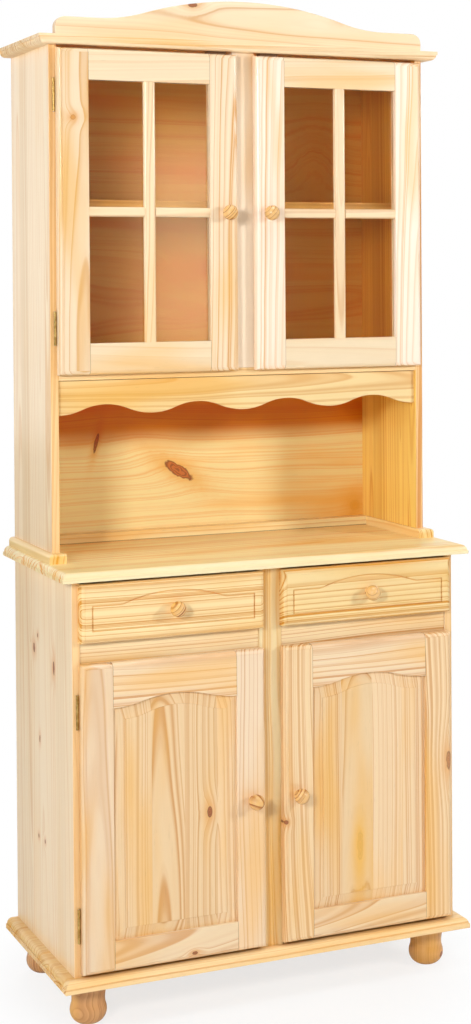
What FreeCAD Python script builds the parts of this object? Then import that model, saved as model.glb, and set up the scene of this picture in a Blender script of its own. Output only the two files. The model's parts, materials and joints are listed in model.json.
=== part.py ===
import FreeCAD, Part
import Sketcher
import math
import os
import re

from FreeCAD import Rotation, Vector

# Two-part pine display cabinet: a glazed hutch standing on a buffet base.
# Millimetres, +Z up, front towards -Y, origin under the middle of the whole box.

SIZES = {
    # base carcass
    "carcass_width": 800,
    "carcass_depth": 376,
    "base_height": 738,
    "board_t": 16,
    "board_ease": 1.5,
    "back_t": 6,
    "back_lap": 8,
    "post_width": 48,
    "post_t": 18,
    "rail_t": 18,
    "rail_setback": 3,
    "rail_overlap": 12,
    # turned feet
    "foot_height": 80,
    "foot_flat_r": 20,
    "foot_bulge_r": 35,
    "foot_bulge_z": 23,
    "foot_waist_r": 31.5,
    "foot_waist_z": 43,
    "foot_neck_r": 33.5,
    "foot_neck_z": 60,
    "foot_inset_side": 40,
    "foot_inset_front": 42,
    "foot_inset_back": 46,
    # moulded boards
    "plinth_t": 20,
    "counter_t": 18,
    "cornice_t": 18,
    "overhang_side": 25,
    "overhang_front": 26.5,
    "edge_round": 11,
    "edge_ledge": 2,
    # hutch carcass
    "hutch_depth": 256,
    "hutch_height": 968,
    "niche_height": 328,
    "strip_t": 18,
    "strip_width": 34,
    "strip_out": 12,
    "strip_reach": 24,
    "strip_round": 7,
    "apron_t": 16,
    "apron_setback": 8,
    "apron_drop": 67.5,
    "apron_rise": 19.5,
    "hutch_shelf_height": 315,
    "hutch_shelf_setback": 30,
    "base_shelf_height": 270,
    "base_shelf_setback": 40,
    "shelf_play": 1,
    "pin_r": 2.5,
    "pin_depth": 7,
    "pin_reach": 9,
    "pin_inset": 55,
    "pin_play": 0.1,
    # crown board
    "crown_t": 17,
    "crown_inset": 9,
    "crown_setback": 10,
    "crown_end": 35,
    "crown_corner": 20,
    "crown_shoulder": 86,
    "crown_rise": 46,
    # doors and drawer fronts
    "door_t": 20,
    "door_gap": 2.6,
    "door_round": 8,
    "door_quirk": 1.5,
    "reveal": 12,
    "centre_gap": 39,
    "gap_top": 6,
    "gap_bottom": 7,
    "floor_reveal": 11,
    "rail_reveal": 39,
    "stile_width": 60,
    "upper_rail": 60,
    "lower_rail": 58,
    "arch_rail": 65.5,
    "arch_rise": 18,
    "groove_depth": 10,
    "tongue_t": 7,
    "fit_play": 0.2,
    "panel_play": 1,
    "bevel_width": 22,
    "bevel_rise": 4,
    "field_step": 1.8,
    # glazing
    "glass_t": 4,
    "glass_lap": 9,
    "glass_play": 1,
    "bead_t": 5,
    "upright_bar": 23,
    "cross_bar": 19,
    "bar_round": 5,
    # drawers
    "drawer_height": 110,
    "drawer_gap": 0.6,
    "drawer_round": 8,
    "drawer_side_t": 12,
    "drawer_length": 325,
    "drawer_box_height": 84,
    "drawer_lift": 2,
    "drawer_play": 3,
    "drawer_bottom_t": 4,
    "bottom_lift": 8,
    "bottom_lap": 5,
    "runner_height": 12,
    "runner_bite": 6.5,
    "runner_play": 0.3,
    "scribe_inset": 21,
    "scribe_foot": 22,
    "scribe_shoulder": 39.5,
    "scribe_arch": 110,
    "scribe_rise": 19,
    "scribe_width": 2.2,
    "scribe_depth": 2,
    "scribe_bevel": 0.6,
    # turned knobs
    "knob_r": 15,
    "knob_length": 33,
    "knob_seat_r": 9,
    "knob_neck_r": 7.5,
    "upper_knob_inset": 25,
    "lower_knob_inset": 28,
    # hinges and catches
    "hinge_length": 64,
    "hinge_inset": 89,
    "leaf_t": 1.2,
    "knuckle_r": 2.75,
    "knuckle_play": 0.4,
    "end_knuckle": 17.6,
    "knuckle_gap": 0.3,
    "hinge_pin_r": 1.3,
    "hinge_pin_play": 0.05,
    "hinge_pin_head": 0.6,
    "door_leaf_width": 22,
    "frame_leaf_depth": 24,
    "catch_length": 40,
    "catch_height": 16,
    "catch_depth": 14,
    "catch_inset": 12,
    "strike_t": 1.2,
    "strike_height": 9,
    "strike_margin": 3,
    "catch_gap": 0.3,
}

APRON_WAVES = 4
CROWN_FLOW = 0.3     # share of the crown's ogee that is hollow
ARCH_FLOW = 0.45     # share of a door arch that is hollow
SCRIBE_FLOW = 0.12   # share of a drawer arch that is hollow
WASTE = 5            # how far a cut runs past the edge that it trims
TOUCH = 0.001        # distance at which two places count as one

# Places that follow from the sizes, each in terms of the ones above it
PLACES = {
    "half": "carcass_width / 2",
    "inner": "half - board_t",
    "front": "(door_gap + door_t + knob_length - carcass_depth) / 2",
    "back": "front + carcass_depth",
    "hutch_front": "back - hutch_depth",
    "inside_back": "back - back_t",
    "plinth_top": "foot_height + plinth_t",
    "counter_bottom": "plinth_top + base_height",
    "counter_top": "counter_bottom + counter_t",
    "hutch_bottom": "counter_top + strip_t",
    "floor_bottom": "hutch_bottom + niche_height",
    "floor_top": "floor_bottom + board_t",
    "cornice_bottom": "hutch_bottom + hutch_height",
    "cornice_top": "cornice_bottom + cornice_t",
    "post_edge": "post_width / 2",
    "door_in": "centre_gap / 2",
    "door_out": "half - reveal",
    "door_mid": "(door_in + door_out) / 2",
    "sight_in": "door_in + stile_width",
    "sight_out": "door_out - stile_width",
    "sight_half": "(sight_out - sight_in) / 2",
    "lower_door_bottom": "plinth_top + gap_bottom",
    "drawer_top": "counter_bottom - gap_top",
    "drawer_bottom": "drawer_top - drawer_height",
    "lower_door_top": "drawer_bottom - rail_reveal",
    "upper_door_bottom": "floor_bottom + floor_reveal",
    "upper_door_top": "cornice_bottom - gap_top",
    "rail_bottom": "lower_door_top - rail_overlap",
    "rail_top": "drawer_bottom + rail_overlap",
    "base_door_back": "front - door_gap",
    "hutch_door_back": "hutch_front - door_gap",
    "drawer_back": "front - drawer_gap",
    "arch_foot": "lower_door_top - arch_rail - arch_rise",
    "panel_foot": "lower_door_bottom + lower_rail",
    "groove_y": "(door_t - tongue_t) / 2 - fit_play",
    "groove_t": "tongue_t + 2 * fit_play",
    "rabbet_t": "glass_t + bead_t + fit_play",
    "hinge_x": "door_out + knuckle_r + knuckle_play",
    "hinge_lift": "knuckle_r + knuckle_play",
    "base_shelf_z": "plinth_top + base_shelf_height",
    "hutch_shelf_z": "floor_top + hutch_shelf_height",
    "box_bottom": "rail_top + drawer_lift",
    "box_in": "post_edge + drawer_play",
    "box_out": "inner - drawer_play",
    "runner_z": "box_bottom + (drawer_box_height - runner_height) / 2",
    "runner_front": "front + rail_setback + rail_t",
    "wave": f"inner / {APRON_WAVES}",
}

# Front edge and underside of each shelf
BASE_SHELF = ("front + base_shelf_setback", "base_shelf_z")
HUTCH_SHELF = ("hutch_front + hutch_shelf_setback", "hutch_shelf_z")

WORD = re.compile(r"[A-Za-z_]\w*")

doc = FreeCAD.newDocument("pine_display_cabinet")
sheet = doc.addObject("Spreadsheet::Sheet", "Sizes")
spelled = {}
subparts = []


def fill_sheet():
    for row, (name, size) in enumerate(SIZES.items(), start=1):
        sheet.set(f"A{row}", name)
        sheet.set(f"B{row}", str(size))
        sheet.setAlias(f"B{row}", name)
        spelled[name] = f"Sizes.{name}"
    for name, formula in PLACES.items():
        spelled[name] = f"({spell(formula)})"
    doc.recompute()


def spell(formula):
    return WORD.sub(lambda word: spelled.get(word.group(), word.group()), formula)


def number(formula):
    return float(sheet.evalExpression(spell(formula)))


def bind(item, **formulas):
    for name, formula in formulas.items():
        item.setExpression(name, spell(formula))


def place(item, x="0", y="0", z="0"):
    for axis, formula in (("x", x), ("y", y), ("z", z)):
        item.setExpression(f"Placement.Base.{axis}", spell(formula))


def keep(item, label):
    item.Label = label
    subparts.append(item)
    return item


def mirrored(item, name):
    twin = doc.addObject("Part::Mirroring", name)
    twin.Source = item
    twin.Normal = Vector(1, 0, 0)
    return twin


def keep_group(label, members):
    group = doc.addObject("Part::Compound", label)
    group.Links = members
    return keep(group, label)


def keep_pair(label, members):
    # one node on each side of the middle, the left one a mirror image of the right one
    if len(members) > 1:
        right = keep_group(f"{label}_right", members)
    else:
        right = keep(members[0], f"{label}_right")
    keep(mirrored(right, f"{label}_left"), f"{label}_left")


def both_sides(label, members):
    # one node that holds each piece and its mirror image
    twins = [mirrored(item, f"{item.Name}_twin") for item in members]
    return keep_group(label, members + twins)


# Sketched bodies

def new_body(name):
    return doc.addObject("PartDesign::Body", name)


def hold(sketch, formula, *terms):
    # a dimension that follows the sheet
    constraint = sketch.addConstraint(Sketcher.Constraint(*terms, number(formula)))
    sketch.setExpression(f"Constraints[{constraint}]", spell(formula))


def add_loop(sketch, corners):
    # corners are (x, y), or (x, y, radius, turn) where an arc leads there, turn +1 anticlockwise
    spots = [Vector(number(corner[0]), number(corner[1]), 0) for corner in corners]
    ends = []
    for index, corner in enumerate(corners):
        start, end = spots[index - 1], spots[index]
        if len(corner) == 2:
            curve = Part.LineSegment(start, end)
        else:
            radius = number(corner[2])
            chord = end - start
            sagitta = radius - math.sqrt(radius ** 2 - (chord.Length / 2) ** 2)
            outward = Vector(chord.y, -chord.x, 0).normalize() * corner[3]
            curve = Part.Arc(start, (start + end) * 0.5 + outward * sagitta, end)
        item = sketch.addGeometry(curve, False)
        first_is_start = (sketch.getPoint(item, 1) - start).Length < TOUCH
        ends.append((item, 1, 2) if first_is_start else (item, 2, 1))
    for index, corner in enumerate(corners):
        item, _, end = ends[index]
        following = ends[(index + 1) % len(corners)]
        sketch.addConstraint(Sketcher.Constraint("Coincident", item, end, following[0], following[1]))
        hold(sketch, corner[0], "DistanceX", item, end)
        hold(sketch, corner[1], "DistanceY", item, end)
        if len(corner) > 2:
            hold(sketch, corner[2], "Radius", item)


def add_sketch(body, name, plane, loops, offset=None):
    sketch = body.newObject("Sketcher::SketchObject", name)
    support = next(item for item in body.Origin.OriginFeatures if item.Role == plane)
    sketch.AttachmentSupport = (support, [""])
    sketch.MapMode = "FlatFace"
    if offset:
        sketch.setExpression("AttachmentOffset.Base.z", spell(offset))
    for corners in loops:
        add_loop(sketch, corners)
    return sketch


def add_pad(body, name, plane, loops, length, offset=None, symmetric=False):
    pad = body.newObject("PartDesign::Pad", name)
    pad.Profile = add_sketch(body, f"{name}_outline", plane, loops, offset)
    body.Tip = pad
    bind(pad, Length=length)
    if symmetric:
        pad.SideType = "Symmetric"
    doc.recompute()
    return pad


def add_cut(body, name, plane, loops, depth=None, offset=None):
    # a cut with no depth runs right through the piece, both ways
    before = body.Shape.Volume
    cut = body.newObject("PartDesign::Pocket", name)
    cut.Profile = add_sketch(body, f"{name}_outline", plane, loops, offset)
    body.Tip = cut
    if depth:
        bind(cut, Length=depth)
        cut.Reversed = True
    else:
        cut.Type = "ThroughAll"
        cut.SideType = "Symmetric"
    doc.recompute()
    if not body.Shape.Volume < before:
        raise RuntimeError(f"{name} removes nothing")


def edges_where(shape, test):
    return [f"Edge{index}" for index, edge in enumerate(shape.Edges, start=1) if test(edge.BoundBox)]


def add_round(body, name, test, radius, kind="PartDesign::Fillet"):
    base = body.Tip
    dressing = body.newObject(kind, name)
    dressing.Base = (base, edges_where(base.Shape, test))
    body.Tip = dressing
    bind(dressing, **{"Radius" if kind.endswith("Fillet") else "Size": radius})
    doc.recompute()
    return dressing


def rectangle(left, right, low, high):
    return [(left, low), (right, low), (right, high), (left, high)]


def bulge(run, rise):
    # radius of an arc that climbs by the rise over the run and ends level
    return f"((({run}) ^ 2 + ({rise}) ^ 2) / (2 * ({rise})))"


def arch(middle, half_span, foot, rise, flow):
    # ogee arch from its right foot to its left one: hollow, crest, hollow, all tangent
    shared = bulge(half_span, rise)
    turn_x = f"({half_span}) * {1 - flow}"
    turn_z = f"({foot}) + ({rise}) * {flow}"
    return [
        (f"({middle}) + {turn_x}", turn_z, f"{shared} * {flow}", -1),
        (f"({middle}) - {turn_x}", turn_z, f"{shared} * {1 - flow}", 1),
        (f"({middle}) - ({half_span})", foot, f"{shared} * {flow}", -1),
    ]


def arched(left, right, bottom, foot, rise, flow):
    middle = f"(({left}) + ({right})) / 2"
    half_span = f"(({right}) - ({left})) / 2"
    return [(left, bottom), (right, bottom), (right, foot)] + arch(middle, half_span, foot, rise, flow)


def moulding(edge, out, face, up, radius, ledge):
    # waste outside a quarter round that springs from a narrow ledge
    spring = f"({face}) - {up} * ({radius})"
    crown = f"({edge}) - {out} * (({ledge}) + ({radius}))"
    past_edge = f"({edge}) + {out * WASTE}"
    past_face = f"({face}) + {up * WASTE}"
    return [
        (past_edge, spring),
        (f"({edge}) - {out} * ({ledge})", spring),
        (crown, face, radius, out * up),
        (crown, past_face),
        (past_edge, past_face),
    ]


def swapped(corners):
    # the same loop with its two axes exchanged
    return [(c[1], c[0]) if len(c) == 2 else (c[1], c[0], c[2], -c[3]) for c in corners]


# Boards

def block(name, x, y, z):
    box = doc.addObject("Part::Box", name)
    for side, (low, high) in (("Length", x), ("Width", y), ("Height", z)):
        bind(box, **{side: f"({high}) - ({low})"})
    place(box, x[0], y[0], z[0])
    return box


def eased_board(name, x, y, z, test, radius="board_ease"):
    # a plain board whose edges picked by the test are rounded over
    body = new_body(name)
    box = body.newObject("PartDesign::AdditiveBox", f"{name}_block")
    for side, (low, high) in (("Length", x), ("Width", y), ("Height", z)):
        bind(box, **{side: f"({high}) - ({low})"})
    place(body, x[0], y[0], z[0])
    doc.recompute()
    add_round(body, f"{name}_ease", test, radius)
    return body


def front_edges(box):
    return box.YMax < TOUCH


def front_uprights(box):
    return box.YMax < TOUCH and box.ZLength > TOUCH


def front_lines(box):
    return box.YMax < TOUCH and box.XLength > TOUCH


def moulded_board(label, front_y, bottom, thickness, up):
    # a board with the ovolo along its front and both ends, on its upper (+1) or lower (-1) face
    half_width = "half + overhang_side"
    depth = f"back - ({front_y})"
    face = thickness if up > 0 else "0"
    body = new_body(label)
    add_pad(body, f"{label}_slab", "YZ_Plane", [rectangle("0", depth, "0", thickness)],
            f"2 * ({half_width})", symmetric=True)
    ovolo = ("edge_round", "edge_ledge")
    add_cut(body, f"{label}_front", "YZ_Plane", [moulding("0", -1, face, up, *ovolo)])
    ends = [moulding(f"{side} * ({half_width})", side, face, up, *ovolo) for side in (-1, 1)]
    add_cut(body, f"{label}_ends", "XZ_Plane", ends)
    place(body, "0", front_y, bottom)
    return keep(body, label)


def pin_rows(shelf):
    shelf_front, _ = shelf
    return f"{shelf_front} + pin_inset", "inside_back - pin_inset"


def pin_cylinder(name, x, y, shelf, length, radius):
    # a shelf pin or its bore, lying along X just under a shelf
    _, shelf_z = shelf
    pin = doc.addObject("Part::Cylinder", name)
    bind(pin, Radius=radius, Height=length)
    pin.Placement.Rotation = Rotation(Vector(0, 1, 0), 90)
    place(pin, x, y, f"{shelf_z} - pin_r")
    return pin


def bored_board(name, board, x, shelf, depth):
    bored = doc.addObject("Part::Cut", name)
    bored.Base = board
    bored.Tool = doc.addObject("Part::MultiFuse", f"{name}_holes")
    bored.Tool.Shapes = [
        pin_cylinder(f"{name}_hole_{end}", x, y, shelf, depth, "pin_r + pin_play")
        for end, y in enumerate(pin_rows(shelf))
    ]
    return bored


def side_board(label, front_y, bottom, height, shelf):
    # upright end board: rabbeted for the back, bored for shelf pins, front corners eased
    depth = f"back - ({front_y})"
    body = new_body(label)
    section = [
        ("0", "0"),
        ("board_t", "0"),
        ("board_t", depth),
        ("back_lap", depth),
        ("back_lap", f"{depth} - back_t"),
        ("0", f"{depth} - back_t"),
    ]
    add_pad(body, f"{label}_slab", "XY_Plane", [section], height)
    add_round(body, f"{label}_ease", front_uprights, "board_ease")
    place(body, "inner", front_y, bottom)
    return bored_board(f"{label}_bored", body, "inner", shelf, "pin_depth + pin_play")


def turned(name, plane, corners):
    # a piece turned on a lathe from half of its profile, about the sketch's upright axis
    body = new_body(name)
    turning = body.newObject("PartDesign::Revolution", f"{name}_turning")
    turning.Profile = add_sketch(body, f"{name}_profile", plane, [corners])
    turning.ReferenceAxis = (turning.Profile[0], ["V_Axis"])
    turning.Angle = 360
    body.Tip = turning
    doc.recompute()
    return body


# Base

def make_feet():
    swell = bulge("(foot_waist_z - foot_bulge_z) / 2", "(foot_bulge_r - foot_waist_r) / 2")
    profile = [
        ("0", "0"),
        ("foot_flat_r", "0"),
        ("foot_bulge_r", "foot_bulge_z", bulge("foot_bulge_z", "foot_bulge_r - foot_flat_r"), 1),
        ("(foot_bulge_r + foot_waist_r) / 2", "(foot_bulge_z + foot_waist_z) / 2", swell, 1),
        ("foot_waist_r", "foot_waist_z", swell, -1),
        ("foot_neck_r", "foot_neck_z",
         bulge("foot_neck_z - foot_waist_z", "foot_neck_r - foot_waist_r"), -1),
        ("foot_neck_r", "foot_height"),
        ("0", "foot_height"),
    ]
    feet = []
    for end, y in (("front", "front + foot_inset_front"), ("rear", "back - foot_inset_back")):
        foot = turned(f"{end}_foot", "XZ_Plane", profile)
        place(foot, "half - foot_inset_side", y, "0")
        feet.append(foot)
    both_sides("bun_feet", feet)


def make_base():
    moulded_board("base_board", "front - overhang_front", "foot_height", "plinth_t", 1)
    moulded_board("countertop", "front - overhang_front", "counter_bottom", "counter_t", 1)
    side = side_board("base_side_board", "front", "plinth_top", "base_height", BASE_SHELF)
    keep_pair("base_side", [side])
    post = eased_board("base_post", ("-post_edge", "post_edge"), ("front", "front + post_t"),
                       ("plinth_top", "counter_bottom"), front_uprights)
    keep(post, "base_post")
    make_partition()
    back = block("base_back_panel", ("-inner - back_lap", "inner + back_lap"), ("inside_back", "back"),
                 ("plinth_top", "counter_bottom"))
    keep(back, "base_back_panel")
    rail = eased_board("drawer_rail", ("post_edge", "inner"),
                       ("front + rail_setback", "front + rail_setback + rail_t"),
                       ("rail_bottom", "rail_top"), front_lines)
    both_sides("drawer_rails", [rail])
    shelf = eased_board("base_shelf", ("board_t / 2 + shelf_play", "inner - shelf_play"),
                        ("front + base_shelf_setback", "inside_back - shelf_play"),
                        ("base_shelf_z", "base_shelf_z + board_t"), front_lines)
    both_sides("base_shelves", [shelf])
    run = ("runner_front", "inside_back")
    rise = ("runner_z", "runner_z + runner_height")
    outer = block("outer_runner", ("box_out - runner_bite", "inner"), run, rise)
    inner = block("inner_runner", ("board_t / 2", "box_in + runner_bite"), run, rise)
    both_sides("drawer_runners", [outer, inner])


def make_partition():
    depth = "inside_back - front - post_t"
    partition = new_body("partition_slab")
    add_pad(partition, "partition_slab_board", "XY_Plane",
            [rectangle("-board_t / 2", "board_t / 2", "0", depth)], "base_height")
    place(partition, "0", "front + post_t", "plinth_top")
    keep(bored_board("partition_bored", partition, "-board_t / 2", BASE_SHELF, "board_t"), "base_partition")


def make_pins():
    length = "pin_depth + pin_reach"
    pins = []
    seats = (
        ("base_pin_outer", "inner - pin_reach", BASE_SHELF),
        ("base_pin_inner", "board_t / 2 - pin_depth", BASE_SHELF),
        ("hutch_pin", "inner - pin_reach", HUTCH_SHELF),
    )
    for name, x, shelf in seats:
        for end, y in enumerate(pin_rows(shelf)):
            pins.append(pin_cylinder(f"{name}_{end}", x, y, shelf, length, "pin_r"))
    both_sides("shelf_pins", pins)


# Hutch

def make_hutch():
    make_strips()
    rear = block("hutch_rear_strip", ("-half - strip_out + strip_width", "half + strip_out - strip_width"),
                 ("back - strip_width", "back"), ("counter_top", "hutch_bottom"))
    keep(rear, "hutch_rear_strip")
    side = side_board("hutch_side_board", "hutch_front", "hutch_bottom", "hutch_height", HUTCH_SHELF)
    keep_pair("hutch_side", [side])
    floor = eased_board("hutch_floor", ("-inner", "inner"), ("hutch_front", "inside_back"),
                        ("floor_bottom", "floor_top"), front_lines)
    keep(floor, "hutch_floor")
    post = eased_board("hutch_post", ("-post_edge", "post_edge"), ("hutch_front", "hutch_front + post_t"),
                       ("floor_top", "cornice_bottom"), front_uprights)
    keep(post, "hutch_post")
    shelf = eased_board("hutch_shelf", ("-inner + shelf_play", "inner - shelf_play"),
                        ("hutch_front + hutch_shelf_setback", "inside_back - shelf_play"),
                        ("hutch_shelf_z", "hutch_shelf_z + board_t"), front_lines)
    keep(shelf, "hutch_shelf")
    back = block("hutch_back_panel", ("-inner - back_lap", "inner + back_lap"), ("inside_back", "back"),
                 ("hutch_bottom", "cornice_bottom"))
    keep(back, "hutch_back_panel")
    moulded_board("cornice", "hutch_front - overhang_front", "cornice_bottom", "cornice_t", -1)
    make_apron()
    make_crown()


def make_strips():
    # the hutch stands on strips that run proud of its sides, with rounded upper edges
    top = number("strip_t")
    rear = number("back - hutch_front + strip_reach")
    outer = number("strip_width")

    def rounded(edge):
        on_front = edge.YMax < TOUCH
        on_outside = edge.XMin > outer - TOUCH and edge.YMin < rear - TOUCH
        return edge.ZMin > top - TOUCH and (on_front or on_outside)

    strip = eased_board("hutch_foot_strip", ("half + strip_out - strip_width", "half + strip_out"),
                        ("hutch_front - strip_reach", "back"), ("counter_top", "hutch_bottom"),
                        rounded, "strip_round")
    both_sides("hutch_foot_strips", [strip])


def make_apron():
    low = "floor_bottom - apron_drop"
    mid = f"{low} + apron_rise / 2"
    bend = bulge("wave / 2", "apron_rise / 2")
    corners = [("-inner", "floor_bottom"), ("inner", "floor_bottom"), ("inner", low)]
    for crest in range(APRON_WAVES):
        corners.append((f"inner - wave * {2 * crest + 0.5}", mid, bend, -1))
        corners.append((f"inner - wave * {2 * crest + 1.5}", mid, bend, 1))
    corners.append(("-inner", low, bend, -1))
    apron = new_body("scalloped_apron")
    add_pad(apron, "scalloped_apron_board", "XZ_Plane", [corners], "apron_t")
    place(apron, "0", "hutch_front + apron_setback + apron_t", "0")
    keep(apron, "scalloped_apron")


def make_crown():
    end = "half - crown_inset"
    top = "cornice_top + crown_end"
    shoulder = f"{end} - crown_shoulder"
    corners = [
        (f"-({end})", "cornice_top"),
        (end, "cornice_top"),
        (end, f"{top} - crown_corner"),
        (f"{end} - crown_corner", top, "crown_corner", 1),
        (shoulder, top),
        *arch("0", shoulder, top, "crown_rise", CROWN_FLOW),
        (f"-({end} - crown_corner)", top),
        (f"-({end})", f"{top} - crown_corner", "crown_corner", 1),
    ]
    crown = new_body("crown_board")
    add_pad(crown, "crown_board_outline", "XZ_Plane", [corners], "crown_t")
    board = number("crown_t")
    face = number("cornice_top")

    def show_edges(edge):
        return edge.YMax < TOUCH - board and edge.ZMax > face + TOUCH

    add_round(crown, "crown_board_ease", show_edges, "board_ease")
    place(crown, "0", "hutch_front - overhang_front + crown_setback + crown_t", "0")
    keep(crown, "crown_board")


# Doors, all drawn on the right and mirrored

def front_moulding(place_on, side, radius):
    # waste along an outer edge of a door or drawer front, in (depth, edge) axes
    return moulding("-door_t", -1, place_on, side, radius, "door_quirk")


def make_stile(name, left, right, low, high, hand, notch, back):
    # hand is +1 where the outer edge is on the right; the notch takes the panel or the glass
    stile = new_body(name)
    add_pad(stile, f"{name}_board", "XZ_Plane", [rectangle(left, right, low, high)], "door_t")
    outer = right if hand > 0 else left
    inner = left if hand > 0 else right
    depth, near, far = notch
    waste = rectangle(inner, f"{inner} + {hand} * {depth}", f"-({far})", f"-({near})")
    add_cut(stile, f"{name}_sides", "XY_Plane",
            [swapped(front_moulding(outer, hand, "door_round")), waste])
    add_cut(stile, f"{name}_ends", "YZ_Plane",
            [front_moulding(low, -1, "door_round"), front_moulding(high, 1, "door_round")])
    place(stile, "0", back, "0")
    return stile


def make_stiles(name, low, high, notch, back):
    inner = make_stile(f"{name}_inner_stile", "door_in", "sight_in", low, high, -1, notch, back)
    outer = make_stile(f"{name}_outer_stile", "sight_out", "door_out", low, high, 1, notch, back)
    keep_pair(f"{name}_stiles", [inner, outer])


def make_lower_rails():
    tenon = "groove_depth - fit_play"
    tenon_y = "(door_t - tongue_t) / 2"
    ends = (f"sight_in - ({tenon})", f"sight_out + ({tenon})")
    upper = new_body("arched_rail")
    outline = [("sight_in", "lower_door_top"), ("sight_out", "lower_door_top"), ("sight_out", "arch_foot")]
    add_pad(upper, "arched_rail_board", "XZ_Plane",
            [outline + arch("door_mid", "sight_half", "arch_foot", "arch_rise", ARCH_FLOW)], "door_t")
    add_pad(upper, "arched_rail_tenons", "XZ_Plane",
            [rectangle(*ends, "arch_foot + arch_rise + groove_depth", "lower_door_top - door_round")],
            "tongue_t", tenon_y)
    add_cut(upper, "arched_rail_edge", "YZ_Plane", [front_moulding("lower_door_top", 1, "door_round")])
    slot = arched("sight_in - groove_depth", "sight_out + groove_depth", f"arch_foot - {WASTE}",
                  "arch_foot + groove_depth", "arch_rise", ARCH_FLOW)
    add_cut(upper, "arched_rail_groove", "XZ_Plane", [slot], "groove_t", "groove_y")
    lower = new_body("lower_rail")
    add_pad(lower, "lower_rail_board", "XZ_Plane",
            [rectangle("sight_in", "sight_out", "lower_door_bottom", "panel_foot")], "door_t")
    add_pad(lower, "lower_rail_tenons", "XZ_Plane",
            [rectangle(*ends, "lower_door_bottom + door_round", "panel_foot - groove_depth")],
            "tongue_t", tenon_y)
    groove = rectangle("-groove_y - groove_t", "-groove_y",
                       "panel_foot - groove_depth", f"panel_foot + {WASTE}")
    add_cut(lower, "lower_rail_edges", "YZ_Plane",
            [front_moulding("lower_door_bottom", -1, "door_round"), groove])
    for rail in (upper, lower):
        place(rail, "0", "base_door_back", "0")
    keep_pair("lower_rails", [upper, lower])


def make_panel():
    # raised and fielded panel: tongue in the frame's groove, lofted bevel, stepped field
    def inset(by):
        return arched(f"sight_in + ({by})", f"sight_out - ({by})", f"panel_foot + ({by})",
                      f"arch_foot - ({by})", "arch_rise", ARCH_FLOW)

    panel = new_body("raised_panel")
    add_pad(panel, "raised_panel_tongue", "XZ_Plane", [inset("panel_play - groove_depth")], "tongue_t")
    foot = add_sketch(panel, "raised_panel_bevel_foot", "XZ_Plane", [inset("panel_play")], "tongue_t")
    head = add_sketch(panel, "raised_panel_bevel_head", "XZ_Plane", [inset("bevel_width")],
                      "tongue_t + bevel_rise")
    bevel = panel.newObject("PartDesign::AdditiveLoft", "raised_panel_bevel")
    bevel.Profile = foot
    bevel.Sections = [head]
    bevel.Ruled = True
    panel.Tip = bevel
    doc.recompute()
    add_pad(panel, "raised_panel_field", "XZ_Plane", [inset("bevel_width")],
            "field_step", "tongue_t + bevel_rise")
    place(panel, "0", "base_door_back - (door_t - tongue_t) / 2", "0")
    keep_pair("lower_panel", [panel])


def make_lower_doors():
    notch = ("groove_depth", "groove_y", "groove_y + groove_t")
    make_stiles("lower", "lower_door_bottom", "lower_door_top", notch, "base_door_back")
    make_lower_rails()
    make_panel()
    make_knob("lower_knob", "door_in + lower_knob_inset", "base_door_back - door_t",
              "(lower_door_bottom + lower_door_top) / 2")


def make_upper_rail(name, low, high, outer, side, inner):
    # rail of a glazed door: its back laps into the stiles' rabbets
    rail = new_body(name)
    add_pad(rail, f"{name}_board", "XZ_Plane", [rectangle("sight_in", "sight_out", low, high)], "door_t")
    lap = "glass_lap - fit_play"
    add_pad(rail, f"{name}_laps", "XZ_Plane",
            [rectangle(f"sight_in - ({lap})", f"sight_out + ({lap})", low, high)], "rabbet_t - fit_play")
    seat = sorted((inner, f"{inner} + {side} * glass_lap"), key=number)
    rabbet = rectangle("-rabbet_t", f"{WASTE}", *seat)
    add_cut(rail, f"{name}_edges", "YZ_Plane", [front_moulding(outer, side, "door_round"), rabbet])
    place(rail, "0", "hutch_door_back", "0")
    return rail


def make_upper_doors():
    notch = ("glass_lap", f"-{WASTE}", "rabbet_t")
    make_stiles("upper", "upper_door_bottom", "upper_door_top", notch, "hutch_door_back")
    sill = "upper_door_bottom + upper_rail"
    head = "upper_door_top - upper_rail"
    top = make_upper_rail("upper_head_rail", head, "upper_door_top", "upper_door_top", 1, head)
    foot = make_upper_rail("upper_foot_rail", "upper_door_bottom", sill, "upper_door_bottom", -1, sill)
    keep_pair("upper_rails", [top, foot])
    make_glazing(sill, head)
    make_knob("upper_knob", "door_in + upper_knob_inset", "hutch_door_back - door_t",
              "(upper_door_bottom + upper_door_top) / 2")


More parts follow.
